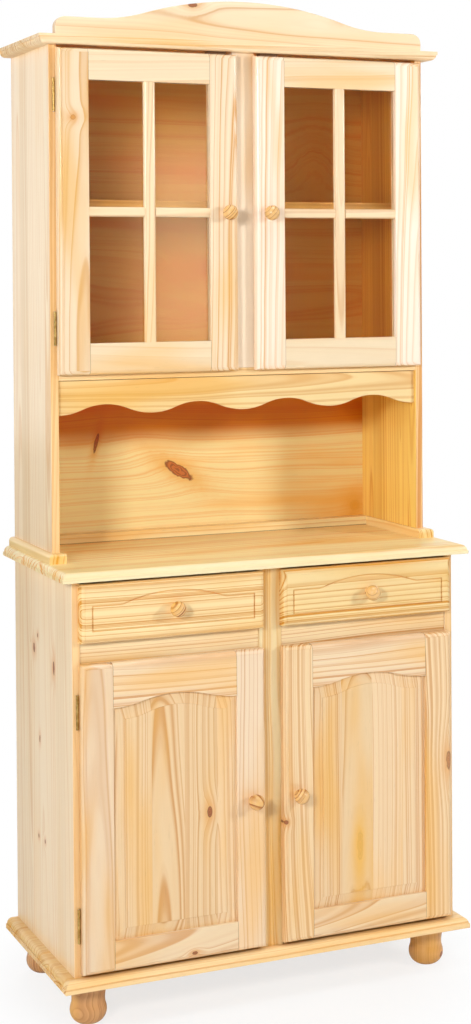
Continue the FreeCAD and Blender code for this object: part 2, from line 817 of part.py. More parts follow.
def make_glazing(sill, head):
    lap = "glass_lap - glass_play"
    left, right = f"sight_in - ({lap})", f"sight_out + ({lap})"
    low, high = f"{sill} - ({lap})", f"{head} + ({lap})"
    seat = "hutch_door_back - rabbet_t"
    glass_back = f"{seat} + glass_t"
    keep_pair("upper_glass", [block("glass_pane", (left, right), (seat, glass_back), (low, high))])
    depth = (glass_back, "hutch_door_back")
    beads = [
        block("bead_inner", (left, "sight_in"), depth, (low, high)),
        block("bead_outer", ("sight_out", right), depth, (low, high)),
        block("bead_foot", ("sight_in", "sight_out"), depth, (low, sill)),
        block("bead_head", ("sight_in", "sight_out"), depth, (head, high)),
    ]
    keep_pair("glazing_beads", beads)
    bar_depth = ("hutch_door_back - door_t + door_quirk", f"{seat} - fit_play")
    half_upright, half_cross = "upright_bar / 2", "cross_bar / 2"
    middle = f"(({sill}) + ({head})) / 2"
    inner_edge, outer_edge = f"door_mid - {half_upright}", f"door_mid + {half_upright}"
    bars = [eased_board("bar_upright", (inner_edge, outer_edge), bar_depth, (sill, head),
                        front_uprights, "bar_round")]
    rise = (f"{middle} - {half_cross}", f"{middle} + {half_cross}")
    for end, span in (("inner", ("sight_in", inner_edge)), ("outer", (outer_edge, "sight_out"))):
        bars.append(eased_board(f"bar_cross_{end}", span, bar_depth, rise, front_lines, "bar_round"))
    keep_pair("glazing_bars", bars)


def make_knob(label, x, face, z):
    # turned ball knob: the seat flares from a slim neck, and the ball's tip points to the front
    neck = "knob_length - knob_r - sqrt(knob_r ^ 2 - knob_neck_r ^ 2)"
    profile = [
        ("0", "0"),
        ("knob_seat_r", "0"),
        ("knob_neck_r", f"-({neck})", bulge(neck, "knob_seat_r - knob_neck_r"), 1),
        ("knob_r", "knob_r - knob_length", "knob_r", -1),
        ("0", "-knob_length", "knob_r", -1),
    ]
    knob = turned(f"{label}_turned", "XY_Plane", profile)
    place(knob, x, face, z)
    keep_pair(label, [knob])


# Hinges, pins, catches

HINGES = {
    "lower_foot": ("front", "lower_door_bottom + hinge_inset"),
    "lower_head": ("front", "lower_door_top - hinge_inset"),
    "upper_foot": ("hutch_front", "upper_door_bottom + hinge_inset"),
    "upper_head": ("hutch_front", "upper_door_top - hinge_inset"),
}


def knuckle(name, plane, low, high, radius):
    barrel = doc.addObject("Part::Cylinder", name)
    bind(barrel, Radius=radius, Height=f"({high}) - ({low})")
    place(barrel, "hinge_x", f"{plane} - hinge_lift", low)
    return barrel


def bored_leaf(name, plates, plane, low, high):
    solid = doc.addObject("Part::MultiFuse", f"{name}_plates")
    solid.Shapes = plates
    leaf = doc.addObject("Part::Cut", name)
    leaf.Base = solid
    leaf.Tool = knuckle(f"{name}_bore", plane, low, high, "hinge_pin_r + hinge_pin_play")
    return leaf


def frame_leaf(name, plane, middle):
    # wraps from the knuckles over the board's front edge and back along its inner face
    low, high = f"{middle} - hinge_length / 2", f"{middle} + hinge_length / 2"
    skin = (f"{plane} - leaf_t", plane)
    notch = "door_out + knuckle_play / 2"
    plates = [
        block(f"{name}_flange", ("inner - leaf_t", notch), skin, (low, high)),
        block(f"{name}_return", ("inner - leaf_t", "inner"),
              (f"{plane} - leaf_t", f"{plane} + frame_leaf_depth"), (low, high)),
    ]
    spans = {"foot": (low, f"{low} + end_knuckle"), "head": (f"{high} - end_knuckle", high)}
    for end, span in spans.items():
        plates.append(block(f"{name}_web_{end}", (notch, "hinge_x"), skin, span))
        plates.append(knuckle(f"{name}_knuckle_{end}", plane, *span, "knuckle_r"))
    return bored_leaf(name, plates, plane, low, high)


def door_leaf(name, plane, middle):
    # lies flat on the door's back, with the middle knuckle
    low, high = f"{middle} - hinge_length / 2", f"{middle} + hinge_length / 2"
    skin = (f"{plane} - door_gap", f"{plane} - door_gap + leaf_t")
    span = (f"{low} + end_knuckle + knuckle_gap", f"{high} - end_knuckle - knuckle_gap")
    plates = [
        block(f"{name}_plate", ("door_out - door_leaf_width", "door_out"), skin, (low, high)),
        block(f"{name}_web", ("door_out", "hinge_x"), skin, span),
        knuckle(f"{name}_knuckle", plane, *span, "knuckle_r"),
    ]
    return bored_leaf(name, plates, plane, low, high)


def make_catch(name, plane, ceiling):
    # magnet block under the board above the door, its face just behind the strike plate
    left = "post_edge + catch_inset"
    face = f"{plane} - door_gap + strike_t + catch_gap"
    return eased_board(name, (left, f"{left} + catch_length"), (face, f"{face} + catch_depth"),
                       (f"{ceiling} - catch_height", ceiling), front_edges)


def make_strike(name, plane, ceiling):
    left = "post_edge + catch_inset + strike_margin"
    low = f"{ceiling} - catch_height"
    return block(name, (left, f"{left} + catch_length - 2 * strike_margin"),
                 (f"{plane} - door_gap", f"{plane} - door_gap + strike_t"), (low, f"{low} + strike_height"))


def make_hardware():
    frame_leaves, pins, catches = [], [], []
    door_fittings = {"lower": [], "upper": []}
    for name, (plane, middle) in HINGES.items():
        door = name.split("_")[0]
        frame_leaves.append(frame_leaf(f"{name}_frame_leaf", plane, middle))
        door_fittings[door].append(door_leaf(f"{name}_door_leaf", plane, middle))
        reach = "(hinge_length / 2 + hinge_pin_head)"
        pins.append(knuckle(f"{name}_pin", plane, f"{middle} - {reach}", f"{middle} + {reach}",
                            "hinge_pin_r"))
    ceilings = (("lower", "front", "rail_bottom"), ("upper", "hutch_front", "cornice_bottom"))
    for door, plane, ceiling in ceilings:
        catches.append(make_catch(f"{door}_catch", plane, ceiling))
        door_fittings[door].append(make_strike(f"{door}_strike", plane, ceiling))
        keep_pair(f"{door}_door_fittings", door_fittings[door])
    both_sides("hinge_frame_leaves", frame_leaves)
    both_sides("hinge_pins", pins)
    both_sides("door_catches", catches)


# Drawers, drawn on the right and mirrored

def scribe_loop(by):
    # the routed line: a rectangle whose upper run rises into an arch
    left, right = f"door_in + scribe_inset + {by}", f"door_out - scribe_inset - {by}"
    shoulder = f"drawer_top - scribe_shoulder - {by}"
    bottom = f"drawer_bottom + scribe_foot + {by}"
    return [(left, bottom), (right, bottom), (right, shoulder), ("door_mid + scribe_arch", shoulder),
            *arch("door_mid", "scribe_arch", shoulder, "scribe_rise", SCRIBE_FLOW), (left, shoulder)]


def make_drawer_front():
    front = new_body("drawer_front")
    add_pad(front, "drawer_front_board", "XZ_Plane",
            [rectangle("door_in", "door_out", "drawer_bottom", "drawer_top")], "door_t")
    add_cut(front, "drawer_front_ends", "XY_Plane",
            [swapped(front_moulding("door_in", -1, "drawer_round")),
             swapped(front_moulding("door_out", 1, "drawer_round"))])
    add_cut(front, "drawer_front_edges", "YZ_Plane",
            [front_moulding("drawer_bottom", -1, "drawer_round"),
             front_moulding("drawer_top", 1, "drawer_round")])
    add_cut(front, "drawer_front_scribe", "XZ_Plane",
            [scribe_loop("0"), scribe_loop("scribe_width")], "scribe_depth", "door_t - scribe_depth")
    face = number("door_t") - TOUCH
    left = number("door_in + scribe_inset") - TOUCH
    right = number("door_out - scribe_inset") + TOUCH

    def scribe_edges(edge):
        return edge.YMax < -face and edge.XMin > left and edge.XMax < right

    add_round(front, "drawer_front_scribe_bevel", scribe_edges, "scribe_bevel", "PartDesign::Chamfer")
    place(front, "0", "drawer_back", "0")
    keep_pair("drawer_front", [front])


def make_drawer_side(name, outer, hand):
    # hand is +1 where the outer face, grooved for the runner, is on the right
    inner = f"({outer}) - {hand} * drawer_side_t"
    bite = f"({outer}) - {hand} * (runner_bite + 2 * runner_play)"
    lap = f"({inner}) + {hand} * bottom_lap"
    low, high = "box_bottom", "box_bottom + drawer_box_height"
    groove = ("runner_z - runner_play", "runner_z + runner_height + runner_play")
    floor = ("box_bottom + bottom_lift", "box_bottom + bottom_lift + drawer_bottom_t")
    section = [
        (outer, low),
        (outer, groove[0]),
        (bite, groove[0]),
        (bite, groove[1]),
        (outer, groove[1]),
        (outer, high),
        (inner, high),
        (inner, floor[1]),
        (lap, floor[1]),
        (lap, floor[0]),
        (inner, floor[0]),
        (inner, low),
    ]
    side = new_body(name)
    add_pad(side, f"{name}_board", "XZ_Plane", [section], "drawer_length")
    place(side, "0", "drawer_back + drawer_length", "0")
    return side


def make_drawers():
    make_drawer_front()
    keep_pair("drawer_sides", [
        make_drawer_side("drawer_inner_side", "box_in", -1),
        make_drawer_side("drawer_outer_side", "box_out", 1),
    ])
    left, right = "box_in + drawer_side_t", "box_out - drawer_side_t"
    floor = "box_bottom + bottom_lift"
    rear = "drawer_back + drawer_length"
    keep_pair("drawer_rear", [block("drawer_rear_board", (left, right), (f"{rear} - drawer_side_t", rear),
                                    (f"{floor} + drawer_bottom_t", "box_bottom + drawer_box_height"))])
    lap = "bottom_lap - fit_play"
    keep_pair("drawer_floor", [block("drawer_floor_sheet", (f"{left} - ({lap})", f"{right} + ({lap})"),
                                     ("drawer_back", rear), (floor, f"{floor} + drawer_bottom_t"))])
    make_knob("drawer_knob", "door_mid", "drawer_back - door_t", "(drawer_bottom + drawer_top) / 2")


def check_and_export():
    doc.recompute()
    for item in doc.Objects:
        if {"Invalid", "Error"} & set(item.State):
            raise RuntimeError(f"{item.Name} did not compute: {item.State}")
    os.makedirs("parts", exist_ok=True)
    for item in subparts:
        if item.Shape.isNull() or not item.Shape.isValid():
            raise RuntimeError(f"{item.Label} has no valid shape")
    for item in subparts:
        item.Shape.exportStep(f"parts/{item.Label}.step")
        print(f"{item.Label}: {len(item.Shape.Solids)} solids, {item.Shape.Volume / 1000:.1f} cm3")


fill_sheet()
make_feet()
make_base()
make_hutch()
make_pins()
make_lower_doors()
make_upper_doors()
make_drawers()
make_hardware()
check_and_export()
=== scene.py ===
import json
import math
import bpy
from mathutils import Matrix, Vector

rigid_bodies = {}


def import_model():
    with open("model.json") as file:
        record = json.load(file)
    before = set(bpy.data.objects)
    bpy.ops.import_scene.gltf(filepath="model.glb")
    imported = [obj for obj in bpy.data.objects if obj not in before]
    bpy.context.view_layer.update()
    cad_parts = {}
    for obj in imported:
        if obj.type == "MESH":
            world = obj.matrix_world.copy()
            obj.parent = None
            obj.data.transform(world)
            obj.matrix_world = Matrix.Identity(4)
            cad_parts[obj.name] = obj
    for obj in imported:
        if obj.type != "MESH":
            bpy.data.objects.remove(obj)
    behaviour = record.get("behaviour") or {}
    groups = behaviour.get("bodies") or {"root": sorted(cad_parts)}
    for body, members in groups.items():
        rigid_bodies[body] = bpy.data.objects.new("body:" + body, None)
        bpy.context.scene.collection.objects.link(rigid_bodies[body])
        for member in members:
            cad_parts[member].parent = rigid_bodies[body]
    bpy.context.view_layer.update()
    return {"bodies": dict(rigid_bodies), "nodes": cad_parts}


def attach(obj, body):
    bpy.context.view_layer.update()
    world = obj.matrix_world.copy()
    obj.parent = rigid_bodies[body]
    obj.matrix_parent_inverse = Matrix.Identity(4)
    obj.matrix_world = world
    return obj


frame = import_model()
scene = bpy.context.scene


def paint(red, green, blue):  # screen colour 0-255 to the linear value Blender mixes in
    def toLinear(part):
        part /= 255
        return part / 12.92 if part <= 0.04045 else ((part + 0.055) / 1.055) ** 2.4
    return (toLinear(red), toLinear(green), toLinear(blue), 1.0)


def feed(tree, socket, value):  # a socket is wired, anything else is typed in
    if isinstance(value, bpy.types.NodeSocket):
        tree.links.new(value, socket)
    else:
        socket.default_value = value


def put(tree, kind, settings=None, **inputs):  # a new node, its inputs named with _ for a space
    node = tree.nodes.new(kind)
    for key, value in (settings or {}).items():
        setattr(node, key, value)
    for key, value in inputs.items():
        feed(tree, node.inputs[key.replace("_", " ")], value)
    return node


def calc(tree, operation, *terms):
    node = tree.nodes.new("ShaderNodeMath")
    node.operation = operation
    for socket, term in zip(node.inputs, terms):
        feed(tree, socket, term)
    return node.outputs[0]


def times(tree, *terms):
    total = terms[0]
    for term in terms[1:]:
        total = calc(tree, "MULTIPLY", total, term)
    return total


def plus(tree, *terms):
    total = terms[0]
    for term in terms[1:]:
        total = calc(tree, "ADD", total, term)
    return total


def ease(tree, value, low, high, toLow=0.0, toHigh=1.0):  # soft step between two values
    node = put(tree, "ShaderNodeMapRange", {"interpolation_type": "SMOOTHSTEP"}, Value=value,
               From_Min=low, From_Max=high, To_Min=toLow, To_Max=toHigh)
    return node.outputs["Result"]


def blendColour(tree, amount, first, second, how="MIX"):
    node = tree.nodes.new("ShaderNodeMix")
    node.data_type = "RGBA"
    node.blend_type = how
    feed(tree, node.inputs[0], amount)
    feed(tree, node.inputs[6], first)
    feed(tree, node.inputs[7], second)
    return node.outputs[2]


def ramp(tree, value, stops):  # grey for each place between 0 and 1
    node = put(tree, "ShaderNodeValToRGB", Fac=value)
    node.color_ramp.interpolation = "EASE"
    while len(node.color_ramp.elements) < len(stops):
        node.color_ramp.elements.new(0.5)
    for element, (place, grey) in zip(node.color_ramp.elements, stops):
        element.position = place
        element.color = (grey, grey, grey, 1)
    return node.outputs["Color"]


def split(tree, vector):
    return put(tree, "ShaderNodeSeparateXYZ", Vector=vector).outputs


def join(tree, x, y, z):
    return put(tree, "ShaderNodeCombineXYZ", X=x, Y=y, Z=z).outputs[0]


def cloud(tree, vector, scale=1.0, detail=2.0, rough=0.5):
    return put(tree, "ShaderNodeTexNoise", Vector=vector, Scale=scale, Detail=detail,
               Roughness=rough).outputs


def chance(tree, key):  # three random numbers for a board or ring number
    node = put(tree, "ShaderNodeTexWhiteNoise", {"noise_dimensions": "1D"}, W=key)
    return put(tree, "ShaderNodeSeparateColor", Color=node.outputs["Color"]).outputs


def stretch(tree, spot, fine, long, shift=0.0):  # grain space drawn out along the board
    across, depth, along = spot
    return join(tree, plus(tree, times(tree, across, fine), shift), times(tree, depth, fine),
                times(tree, along, long))


def newFinish(name):  # a material with its nodes, its shader and the piece's own coordinates
    material = bpy.data.materials.new(name)
    material.use_nodes = True
    tree = material.node_tree
    return material, tree, tree.nodes["Principled BSDF"], put(tree, "ShaderNodeTexCoord").outputs


def relief(tree, shader, height, strength, depth):  # fine unevenness that catches the light
    bump = put(tree, "ShaderNodeBump", Height=height, Strength=strength, Distance=depth)
    feed(tree, shader.inputs["Normal"], bump.outputs["Normal"])


def newGroup(name, inputs, outputs):
    tree = bpy.data.node_groups.new(name, "ShaderNodeTree")
    for label, kind in inputs:
        tree.interface.new_socket(label, in_out="INPUT", socket_type="NodeSocket" + kind)
    for label, kind in outputs:
        tree.interface.new_socket(label, in_out="OUTPUT", socket_type="NodeSocket" + kind)
    return tree, tree.nodes.new("NodeGroupInput").outputs, tree.nodes.new("NodeGroupOutput").inputs


knotShape = {  # reaches in half widths of the knot
    "ragged": 85.0, "raggedWide": 0.9, "raggedLong": 0.7,  # scale and strength of its uneven outline
    "edge": (1.12, 0.82), "rim": (0.68, 0.98), "haloFall": 0.42,
    "rings": 15.0, "ringEdge": (-0.2, 1.0), "ringDark": 0.55,
}


def makeKnotGroup():  # one knot: pulls the rings aside, and gives a core, a rim and a halo
    tree, given, result = newGroup(
        "pineKnot",
        [("Grain Space", "Vector"), ("Across", "Float"), ("Along", "Float"), ("Half Width", "Float"),
         ("Half Length", "Float"), ("Turn", "Float"), ("Ring Pull", "Float"), ("Pull Spread", "Float"),
         ("Darkness", "Float"), ("Halo Strength", "Float"), ("Pull", "Float"), ("Core", "Float"),
         ("Halo", "Float"), ("Heart", "Float")],
        [("Pull", "Float"), ("Core", "Float"), ("Halo", "Float"), ("Heart", "Float")])
    spot = split(tree, given["Grain Space"])
    wobble = split(tree, cloud(tree, given["Grain Space"], scale=knotShape["ragged"])["Color"])
    sway = [calc(tree, "SUBTRACT", part, 0.5) for part in wobble]
    off = calc(tree, "SUBTRACT", spot[0], given["Across"])
    run = calc(tree, "SUBTRACT", spot[2], given["Along"])
    cosine, sine = calc(tree, "COSINE", given["Turn"]), calc(tree, "SINE", given["Turn"])
    side = plus(tree, times(tree, off, cosine), times(tree, run, sine),
                times(tree, sway[0], given["Half Width"], knotShape["raggedWide"]))
    reach = plus(tree, calc(tree, "SUBTRACT", times(tree, run, cosine), times(tree, off, sine)),
                 times(tree, sway[1], given["Half Length"], knotShape["raggedLong"]))
    far = calc(tree, "SQRT", plus(
        tree, calc(tree, "POWER", calc(tree, "DIVIDE", side, given["Half Width"]), 2.0),
        calc(tree, "POWER", calc(tree, "DIVIDE", reach, given["Half Length"]), 2.0)))
    spread = calc(tree, "DIVIDE", far, given["Pull Spread"])
    fall = calc(tree, "EXPONENT", times(tree, spread, spread, -1.0))
    feed(tree, result["Pull"], plus(tree, given["Pull"], times(tree, fall, given["Ring Pull"])))
    core = times(tree, ease(tree, far, *knotShape["edge"]), given["Darkness"])
    feed(tree, result["Core"], calc(tree, "MAXIMUM", given["Core"], core))
    wide = times(tree, far, knotShape["haloFall"])
    halo = times(tree, calc(tree, "EXPONENT", times(tree, wide, wide, -1.0)), given["Halo Strength"])
    feed(tree, result["Halo"], calc(tree, "MAXIMUM", given["Halo"], halo))
    rings = calc(tree, "SINE", times(tree, far, knotShape["rings"]))
    rim = times(tree, ease(tree, far, *knotShape["rim"]), core)
    heart = calc(tree, "MAXIMUM", rim, times(tree, core, ease(tree, rings, *knotShape["ringEdge"]),
                                             knotShape["ringDark"]))
    feed(tree, result["Heart"], calc(tree, "MAXIMUM", given["Heart"], heart))
    return tree


growth = {  # how the pine grew
    "staveStep": 3.17, "staveJump": 41.3, "ringStep": 1.73,  # keep the random numbers apart
    "driftFine": 7.0, "driftLong": 1.5, "driftDetail": 2.5, "driftRough": 0.42,
    "pithNear": 0.55, "pithSpread": 0.9, "leanDeep": 2.0,
    "seasonScale": 34.0, "seasonSway": 1.6,                  # wide and narrow years
    "year": [(0.0, 0.15), (0.08, 0.0), (0.40, 0.09), (0.68, 0.42), (0.90, 1.0), (1.0, 0.15)],
    "ringWeak": 0.45, "ringSpread": 0.55,
    "endDark": 0.8, "endTone": -0.05,                        # where the board is cut across
    "hairFine": 1500.0, "hairLong": 24.0, "hairTone": 0.10, "plainTone": 0.95,
    "fleckFine": 620.0, "fleckLong": 38.0, "fleckEdge": (0.68, 0.78), "fleckTone": -0.09,
    "blushFine": 13.0, "blushLong": 2.1, "blushEdge": (0.46, 0.74),
}
grainRough = {"plain": 0.30, "late": 0.10, "hair": 0.10, "core": 0.12}
grainHeight = {"late": 0.55, "hair": 0.30, "resin": -0.25, "heart": -0.4, "seam": -0.8}


def makePineGroup():  # solid pine: growth rings about a pith line, a new one for each glued stave
    tree, given, result = newGroup(
        "pineGrain",
        [("Grain Space", "Vector"), ("Stave Width", "Float"), ("Stave Shift", "Float"),
         ("Seed", "Float"), ("Ring Spacing", "Float"), ("Pith Depth", "Float"),
         ("Pith Reach", "Float"), ("Lean", "Float"), ("Wander", "Float"), ("Tone Spread", "Float"),
         ("Contrast", "Float"), ("Blush", "Float"), ("Early Wood", "Color"), ("Late Wood", "Color"),
         ("Blush Colour", "Color"), ("Halo Colour", "Color"), ("Core Colour", "Color"),
         ("Bark Colour", "Color"), ("Pull", "Float"), ("Core", "Float"), ("Halo", "Float"),
         ("Heart", "Float"), ("Seam", "Float"), ("End Grain", "Float")],
        [("Color", "Color"), ("Roughness", "Float"), ("Height", "Float")])
    across, depth, along = spot = tuple(split(tree, given["Grain Space"]))
    shifted = plus(tree, across, given["Stave Shift"])
    number = calc(tree, "FLOOR", calc(tree, "DIVIDE", shifted, given["Stave Width"]))
    key = plus(tree, times(tree, number, growth["staveStep"]), given["Seed"])
    luck = chance(tree, key)
    more = chance(tree, plus(tree, key, growth["staveJump"]))
    middle = times(tree, plus(tree, number, 0.5), given["Stave Width"])
    local = calc(tree, "SUBTRACT", shifted, middle)

    drift = stretch(tree, spot, growth["driftFine"], growth["driftLong"], key)
    wave = split(tree, cloud(tree, drift, detail=growth["driftDetail"],
                             rough=growth["driftRough"])["Color"])
    swayAcross = times(tree, calc(tree, "SUBTRACT", wave[0], 0.5), given["Wander"])
    swayDepth = times(tree, calc(tree, "SUBTRACT", wave[1], 0.5), given["Wander"])
    pithAcross = times(tree, calc(tree, "SUBTRACT", luck[0], 0.5), given["Pith Reach"])
    pithDepth = times(tree, plus(tree, times(tree, luck[1], growth["pithSpread"]),
                                 growth["pithNear"]), given["Pith Depth"])
    leanAcross = times(tree, calc(tree, "SUBTRACT", luck[2], 0.5), given["Lean"], along)
    leanDepth = times(tree, calc(tree, "SUBTRACT", more[0], 0.5), given["Lean"], along,
                      growth["leanDeep"])
    sideways = plus(tree, calc(tree, "SUBTRACT", local, pithAcross), leanAcross, swayAcross)
    inwards = plus(tree, depth, pithDepth, leanDepth, swayDepth)
    radius = plus(tree, calc(tree, "SQRT", plus(tree, times(tree, sideways, sideways),
                                                times(tree, inwards, inwards))), given["Pull"])
    season = put(tree, "ShaderNodeTexNoise", {"noise_dimensions": "1D"},
                 W=plus(tree, times(tree, radius, growth["seasonScale"]), key),
                 Detail=1.0).outputs["Fac"]
    ringPlace = plus(tree, calc(tree, "DIVIDE", radius, given["Ring Spacing"]),
                     times(tree, season, growth["seasonSway"]))
    ringNumber = calc(tree, "FLOOR", ringPlace)
    year = calc(tree, "SUBTRACT", ringPlace, ringNumber)
    profile = ramp(tree, year, growth["year"])
    strength = chance(tree, plus(tree, times(tree, ringNumber, growth["ringStep"]), key))[0]
    late = times(tree, profile, plus(tree, times(tree, strength, growth["ringSpread"]),
                                     growth["ringWeak"]), given["Contrast"])
    late = calc(tree, "MINIMUM", plus(
        tree, late, times(tree, late, given["End Grain"], growth["endDark"])), 1.0)

    hair = cloud(tree, stretch(tree, spot, growth["hairFine"], growth["hairLong"]))["Fac"]
    fleck = cloud(tree, stretch(tree, spot, growth["fleckFine"], growth["fleckLong"], key),
                  detail=1.0)["Fac"]
    resin = ease(tree, fleck, *growth["fleckEdge"])
    warm = cloud(tree, stretch(tree, spot, growth["blushFine"], growth["blushLong"], key))["Fac"]
    blush = times(tree, ease(tree, warm, *growth["blushEdge"]), given["Blush"])

    colour = blendColour(tree, late, given["Early Wood"], given["Late Wood"])
    colour = blendColour(tree, blush, colour, given["Blush Colour"])
    tone = plus(tree, times(tree, calc(tree, "SUBTRACT", more[1], 0.5), given["Tone Spread"]), 1.0,
                times(tree, given["End Grain"], growth["endTone"]))
    tint = put(tree, "ShaderNodeHueSaturation", Color=colour, Value=tone,
               Saturation=calc(tree, "SUBTRACT", 2.0, tone)).outputs["Color"]
    grit = plus(tree, times(tree, hair, growth["hairTone"]), growth["plainTone"],
                times(tree, resin, growth["fleckTone"]))
    colour = blendColour(tree, 1.0, tint, join(tree, grit, grit, grit), "MULTIPLY")
    colour = blendColour(tree, given["Halo"], colour, given["Halo Colour"])
    colour = blendColour(tree, given["Core"], colour, given["Core Colour"])
    colour = blendColour(tree, given["Heart"], colour, given["Bark Colour"])
    colour = blendColour(tree, given["Seam"], colour, given["Bark Colour"])
    feed(tree, result["Color"], colour)
    feed(tree, result["Roughness"], plus(
        tree, times(tree, late, grainRough["late"]), times(tree, hair, grainRough["hair"]),
        times(tree, given["Core"], grainRough["core"]), grainRough["plain"]))
    feed(tree, result["Height"], plus(
        tree, times(tree, late, grainHeight["late"]), times(tree, hair, grainHeight["hair"]),
        times(tree, resin, grainHeight["resin"]), times(tree, given["Heart"], grainHeight["heart"]),
        times(tree, given["Seam"], grainHeight["seam"])))
    return tree


knotGroup = makeKnotGroup()
pineGroup = makePineGroup()

pineBasics = {
    "axes": "XYZ",            # which of the cabinet's axes run across, into and along the board
    "face": 0.0,              # where the board's face lies on the second axis
    "turn": (0.0, 0.0, 0.0),  # tilt of the grain
    "staveWidth": 0.30, "staveShift": 0.15, "seed": 1.0,
    "ringSpacing": 0.0095, "pithDepth": 0.07, "pithReach": 0.12, "lean": 0.035, "wander": 0.022,
    "toneSpread": 0.10, "contrast": 0.9, "blush": 0.6,
    "early": (248, 218, 172), "late": (206, 130, 32), "blushColour": (242, 180, 72),
    "halo": (228, 158, 78), "core": (168, 92, 44), "bark": (92, 48, 26),
    "knots": (), "seams": (), "crossBar": None,
    "amber": (),              # tints set in by place, mostly painted shade inside and in recesses: a tint, and the axes and places it sets in at
    "coat": 0.35, "coatRough": 0.10, "gloss": 0.5,
    "relief": (0.35, 0.0004),           # strength, and depth in metres
    "endCut": (0.6, 0.9),               # how squarely a face is cut across before it shows end grain
    "seamCore": 0.4, "seamDark": 0.75,  # hairline joints and painted shadow lines
}
knotBasics = {"turn": 0.0, "pull": 0.012, "spread": 3.5, "dark": 0.9, "halo": 0.7}


def makePine(name, **changes):
    look = {**pineBasics, **changes}
    material, tree, shader, coordinates = newFinish(name)
    spot = coordinates["Object"]
    if any(look["turn"]):
        spot = put(tree, "ShaderNodeMapping", Vector=spot, Rotation=look["turn"]).outputs[0]
    parts = split(tree, spot)
    order = ["XYZ".index(letter) for letter in look["axes"]]
    across, along = parts[order[0]], parts[order[2]]
    into = calc(tree, "SUBTRACT", parts[order[1]], look["face"])
    if look["crossBar"]:  # the grain turns where a bar lies the other way
        low, high, middle, half = look["crossBar"]
        off = calc(tree, "ABSOLUTE", calc(tree, "SUBTRACT", calc(tree, "ABSOLUTE", across), middle))
        lies = times(tree, calc(tree, "GREATER_THAN", along, low),
                     calc(tree, "LESS_THAN", along, high), calc(tree, "GREATER_THAN", off, half))
        across, along = (put(tree, "ShaderNodeMix", Factor=lies, A=a, B=b).outputs[0]
                         for a, b in ((across, along), (along, across)))
    grain = join(tree, across, into, along)
    cut = calc(tree, "ABSOLUTE", split(tree, coordinates["Normal"])[order[2]])
    pull, core, halo, heart = 0.0, 0.0, 0.0, 0.0
    for own in look["knots"]:
        knot = {**knotBasics, **own}
        node = put(tree, "ShaderNodeGroup", {"node_tree": knotGroup}, Grain_Space=grain,
                   Across=knot["at"][0], Along=knot["at"][1], Half_Width=knot["half"][0],
                   Half_Length=knot["half"][1], Turn=knot["turn"], Ring_Pull=knot["pull"],
                   Pull_Spread=knot["spread"], Darkness=knot["dark"], Halo_Strength=knot["halo"],
                   Pull=pull, Core=core, Halo=halo, Heart=heart)
        pull, core, halo, heart = node.outputs
    seam = 0.0
    for axis, place, half in look["seams"]:  # hairline joints and painted shadow lines, drawn on both halves of the cabinet
        near = calc(tree, "ABSOLUTE", calc(tree, "SUBTRACT", calc(
            tree, "ABSOLUTE", parts["XYZ".index(axis)]), place))
        line = ease(tree, near, half, half * look["seamCore"], 0.0, look["seamDark"])
        seam = calc(tree, "MAXIMUM", seam, line)
    wood = put(tree, "ShaderNodeGroup", {"node_tree": pineGroup}, Grain_Space=grain,
               Stave_Width=look["staveWidth"], Stave_Shift=look["staveShift"], Seed=look["seed"],
               Ring_Spacing=look["ringSpacing"], Pith_Depth=look["pithDepth"],
               Pith_Reach=look["pithReach"], Lean=look["lean"], Wander=look["wander"],
               Tone_Spread=look["toneSpread"], Contrast=look["contrast"], Blush=look["blush"],
               Early_Wood=paint(*look["early"]), Late_Wood=paint(*look["late"]),
               Blush_Colour=paint(*look["blushColour"]), Halo_Colour=paint(*look["halo"]),
               Core_Colour=paint(*look["core"]), Bark_Colour=paint(*look["bark"]),
               Pull=pull, Core=core, Halo=halo, Heart=heart, Seam=seam,
               End_Grain=ease(tree, cut, *look["endCut"])).outputs
    colour = wood["Color"]
    # tints by place: painted shade where a finish lists it, and the boards' own tones
    for tint, *limits in look["amber"]:
        inside = 1.0
        for axis, outer, inner in limits:
            place = calc(tree, "ABSOLUTE", parts["XYZ".index(axis)])
            inside = times(tree, inside, ease(tree, place, outer, inner))
        colour = blendColour(tree, inside, colour, blendColour(
            tree, 1.0, colour, paint(*tint), "MULTIPLY"))
    feed(tree, shader.inputs["Base Color"], colour)
    feed(tree, shader.inputs["Roughness"], wood["Roughness"])
    relief(tree, shader, wood["Height"], *look["relief"])
    shader.inputs["Specular IOR Level"].default_value = look["gloss"]
    shader.inputs["Coat Weight"].default_value = look["coat"]
    shader.inputs["Coat Roughness"].default_value = look["coatRough"]
    return material


def wear(material, *nodes):  # every slot of these CAD nodes takes the finish
    for node in nodes:
        for slot in frame["nodes"][node].material_slots:
            slot.material = material


def pair(*stems):
    return [stem + side for stem in stems for side in ("_left", "_right")]


sideFace = 0.4                      # half the width over the side boards
innerFaces = ("X", 0.3852, 0.3842)  # the side boards' inner faces
behindGlass = ("Z", 1.205, 1.216)   # from the hutch's floor up
sideBoards = {
    "axes": "YXZ", "staveWidth": 0.054, "staveShift": 0.004, "pithDepth": 0.05, "pithReach": 0.16,
    "early": (255, 230, 192), "late": (228, 172, 102), "blushColour": (250, 208, 146),
    "ringSpacing": 0.008, "contrast": 0.6, "toneSpread": 0.09, "blush": 0.35,
    "amber": (((254, 238, 208), ("X", 0.3998, 0.3992), ("X", 0.3842, 0.3848)),),  # the edges
}
hutchSides = {**sideBoards, "amber": sideBoards["amber"] + (
    # painted shade on the inner faces
    ((255, 242, 158), innerFaces),
    ((232, 196, 140), innerFaces, behindGlass),  # painted shade, deeper behind the glass
)}
wear(makePine("leftHutchSidePine", seed=5.0, face=-sideFace, **hutchSides), "hutch_side_left")
wear(makePine("rightHutchSidePine", seed=5.0, face=sideFace, **{
    **hutchSides, "contrast": 0.9, "late": (220, 150, 66)}), "hutch_side_right")
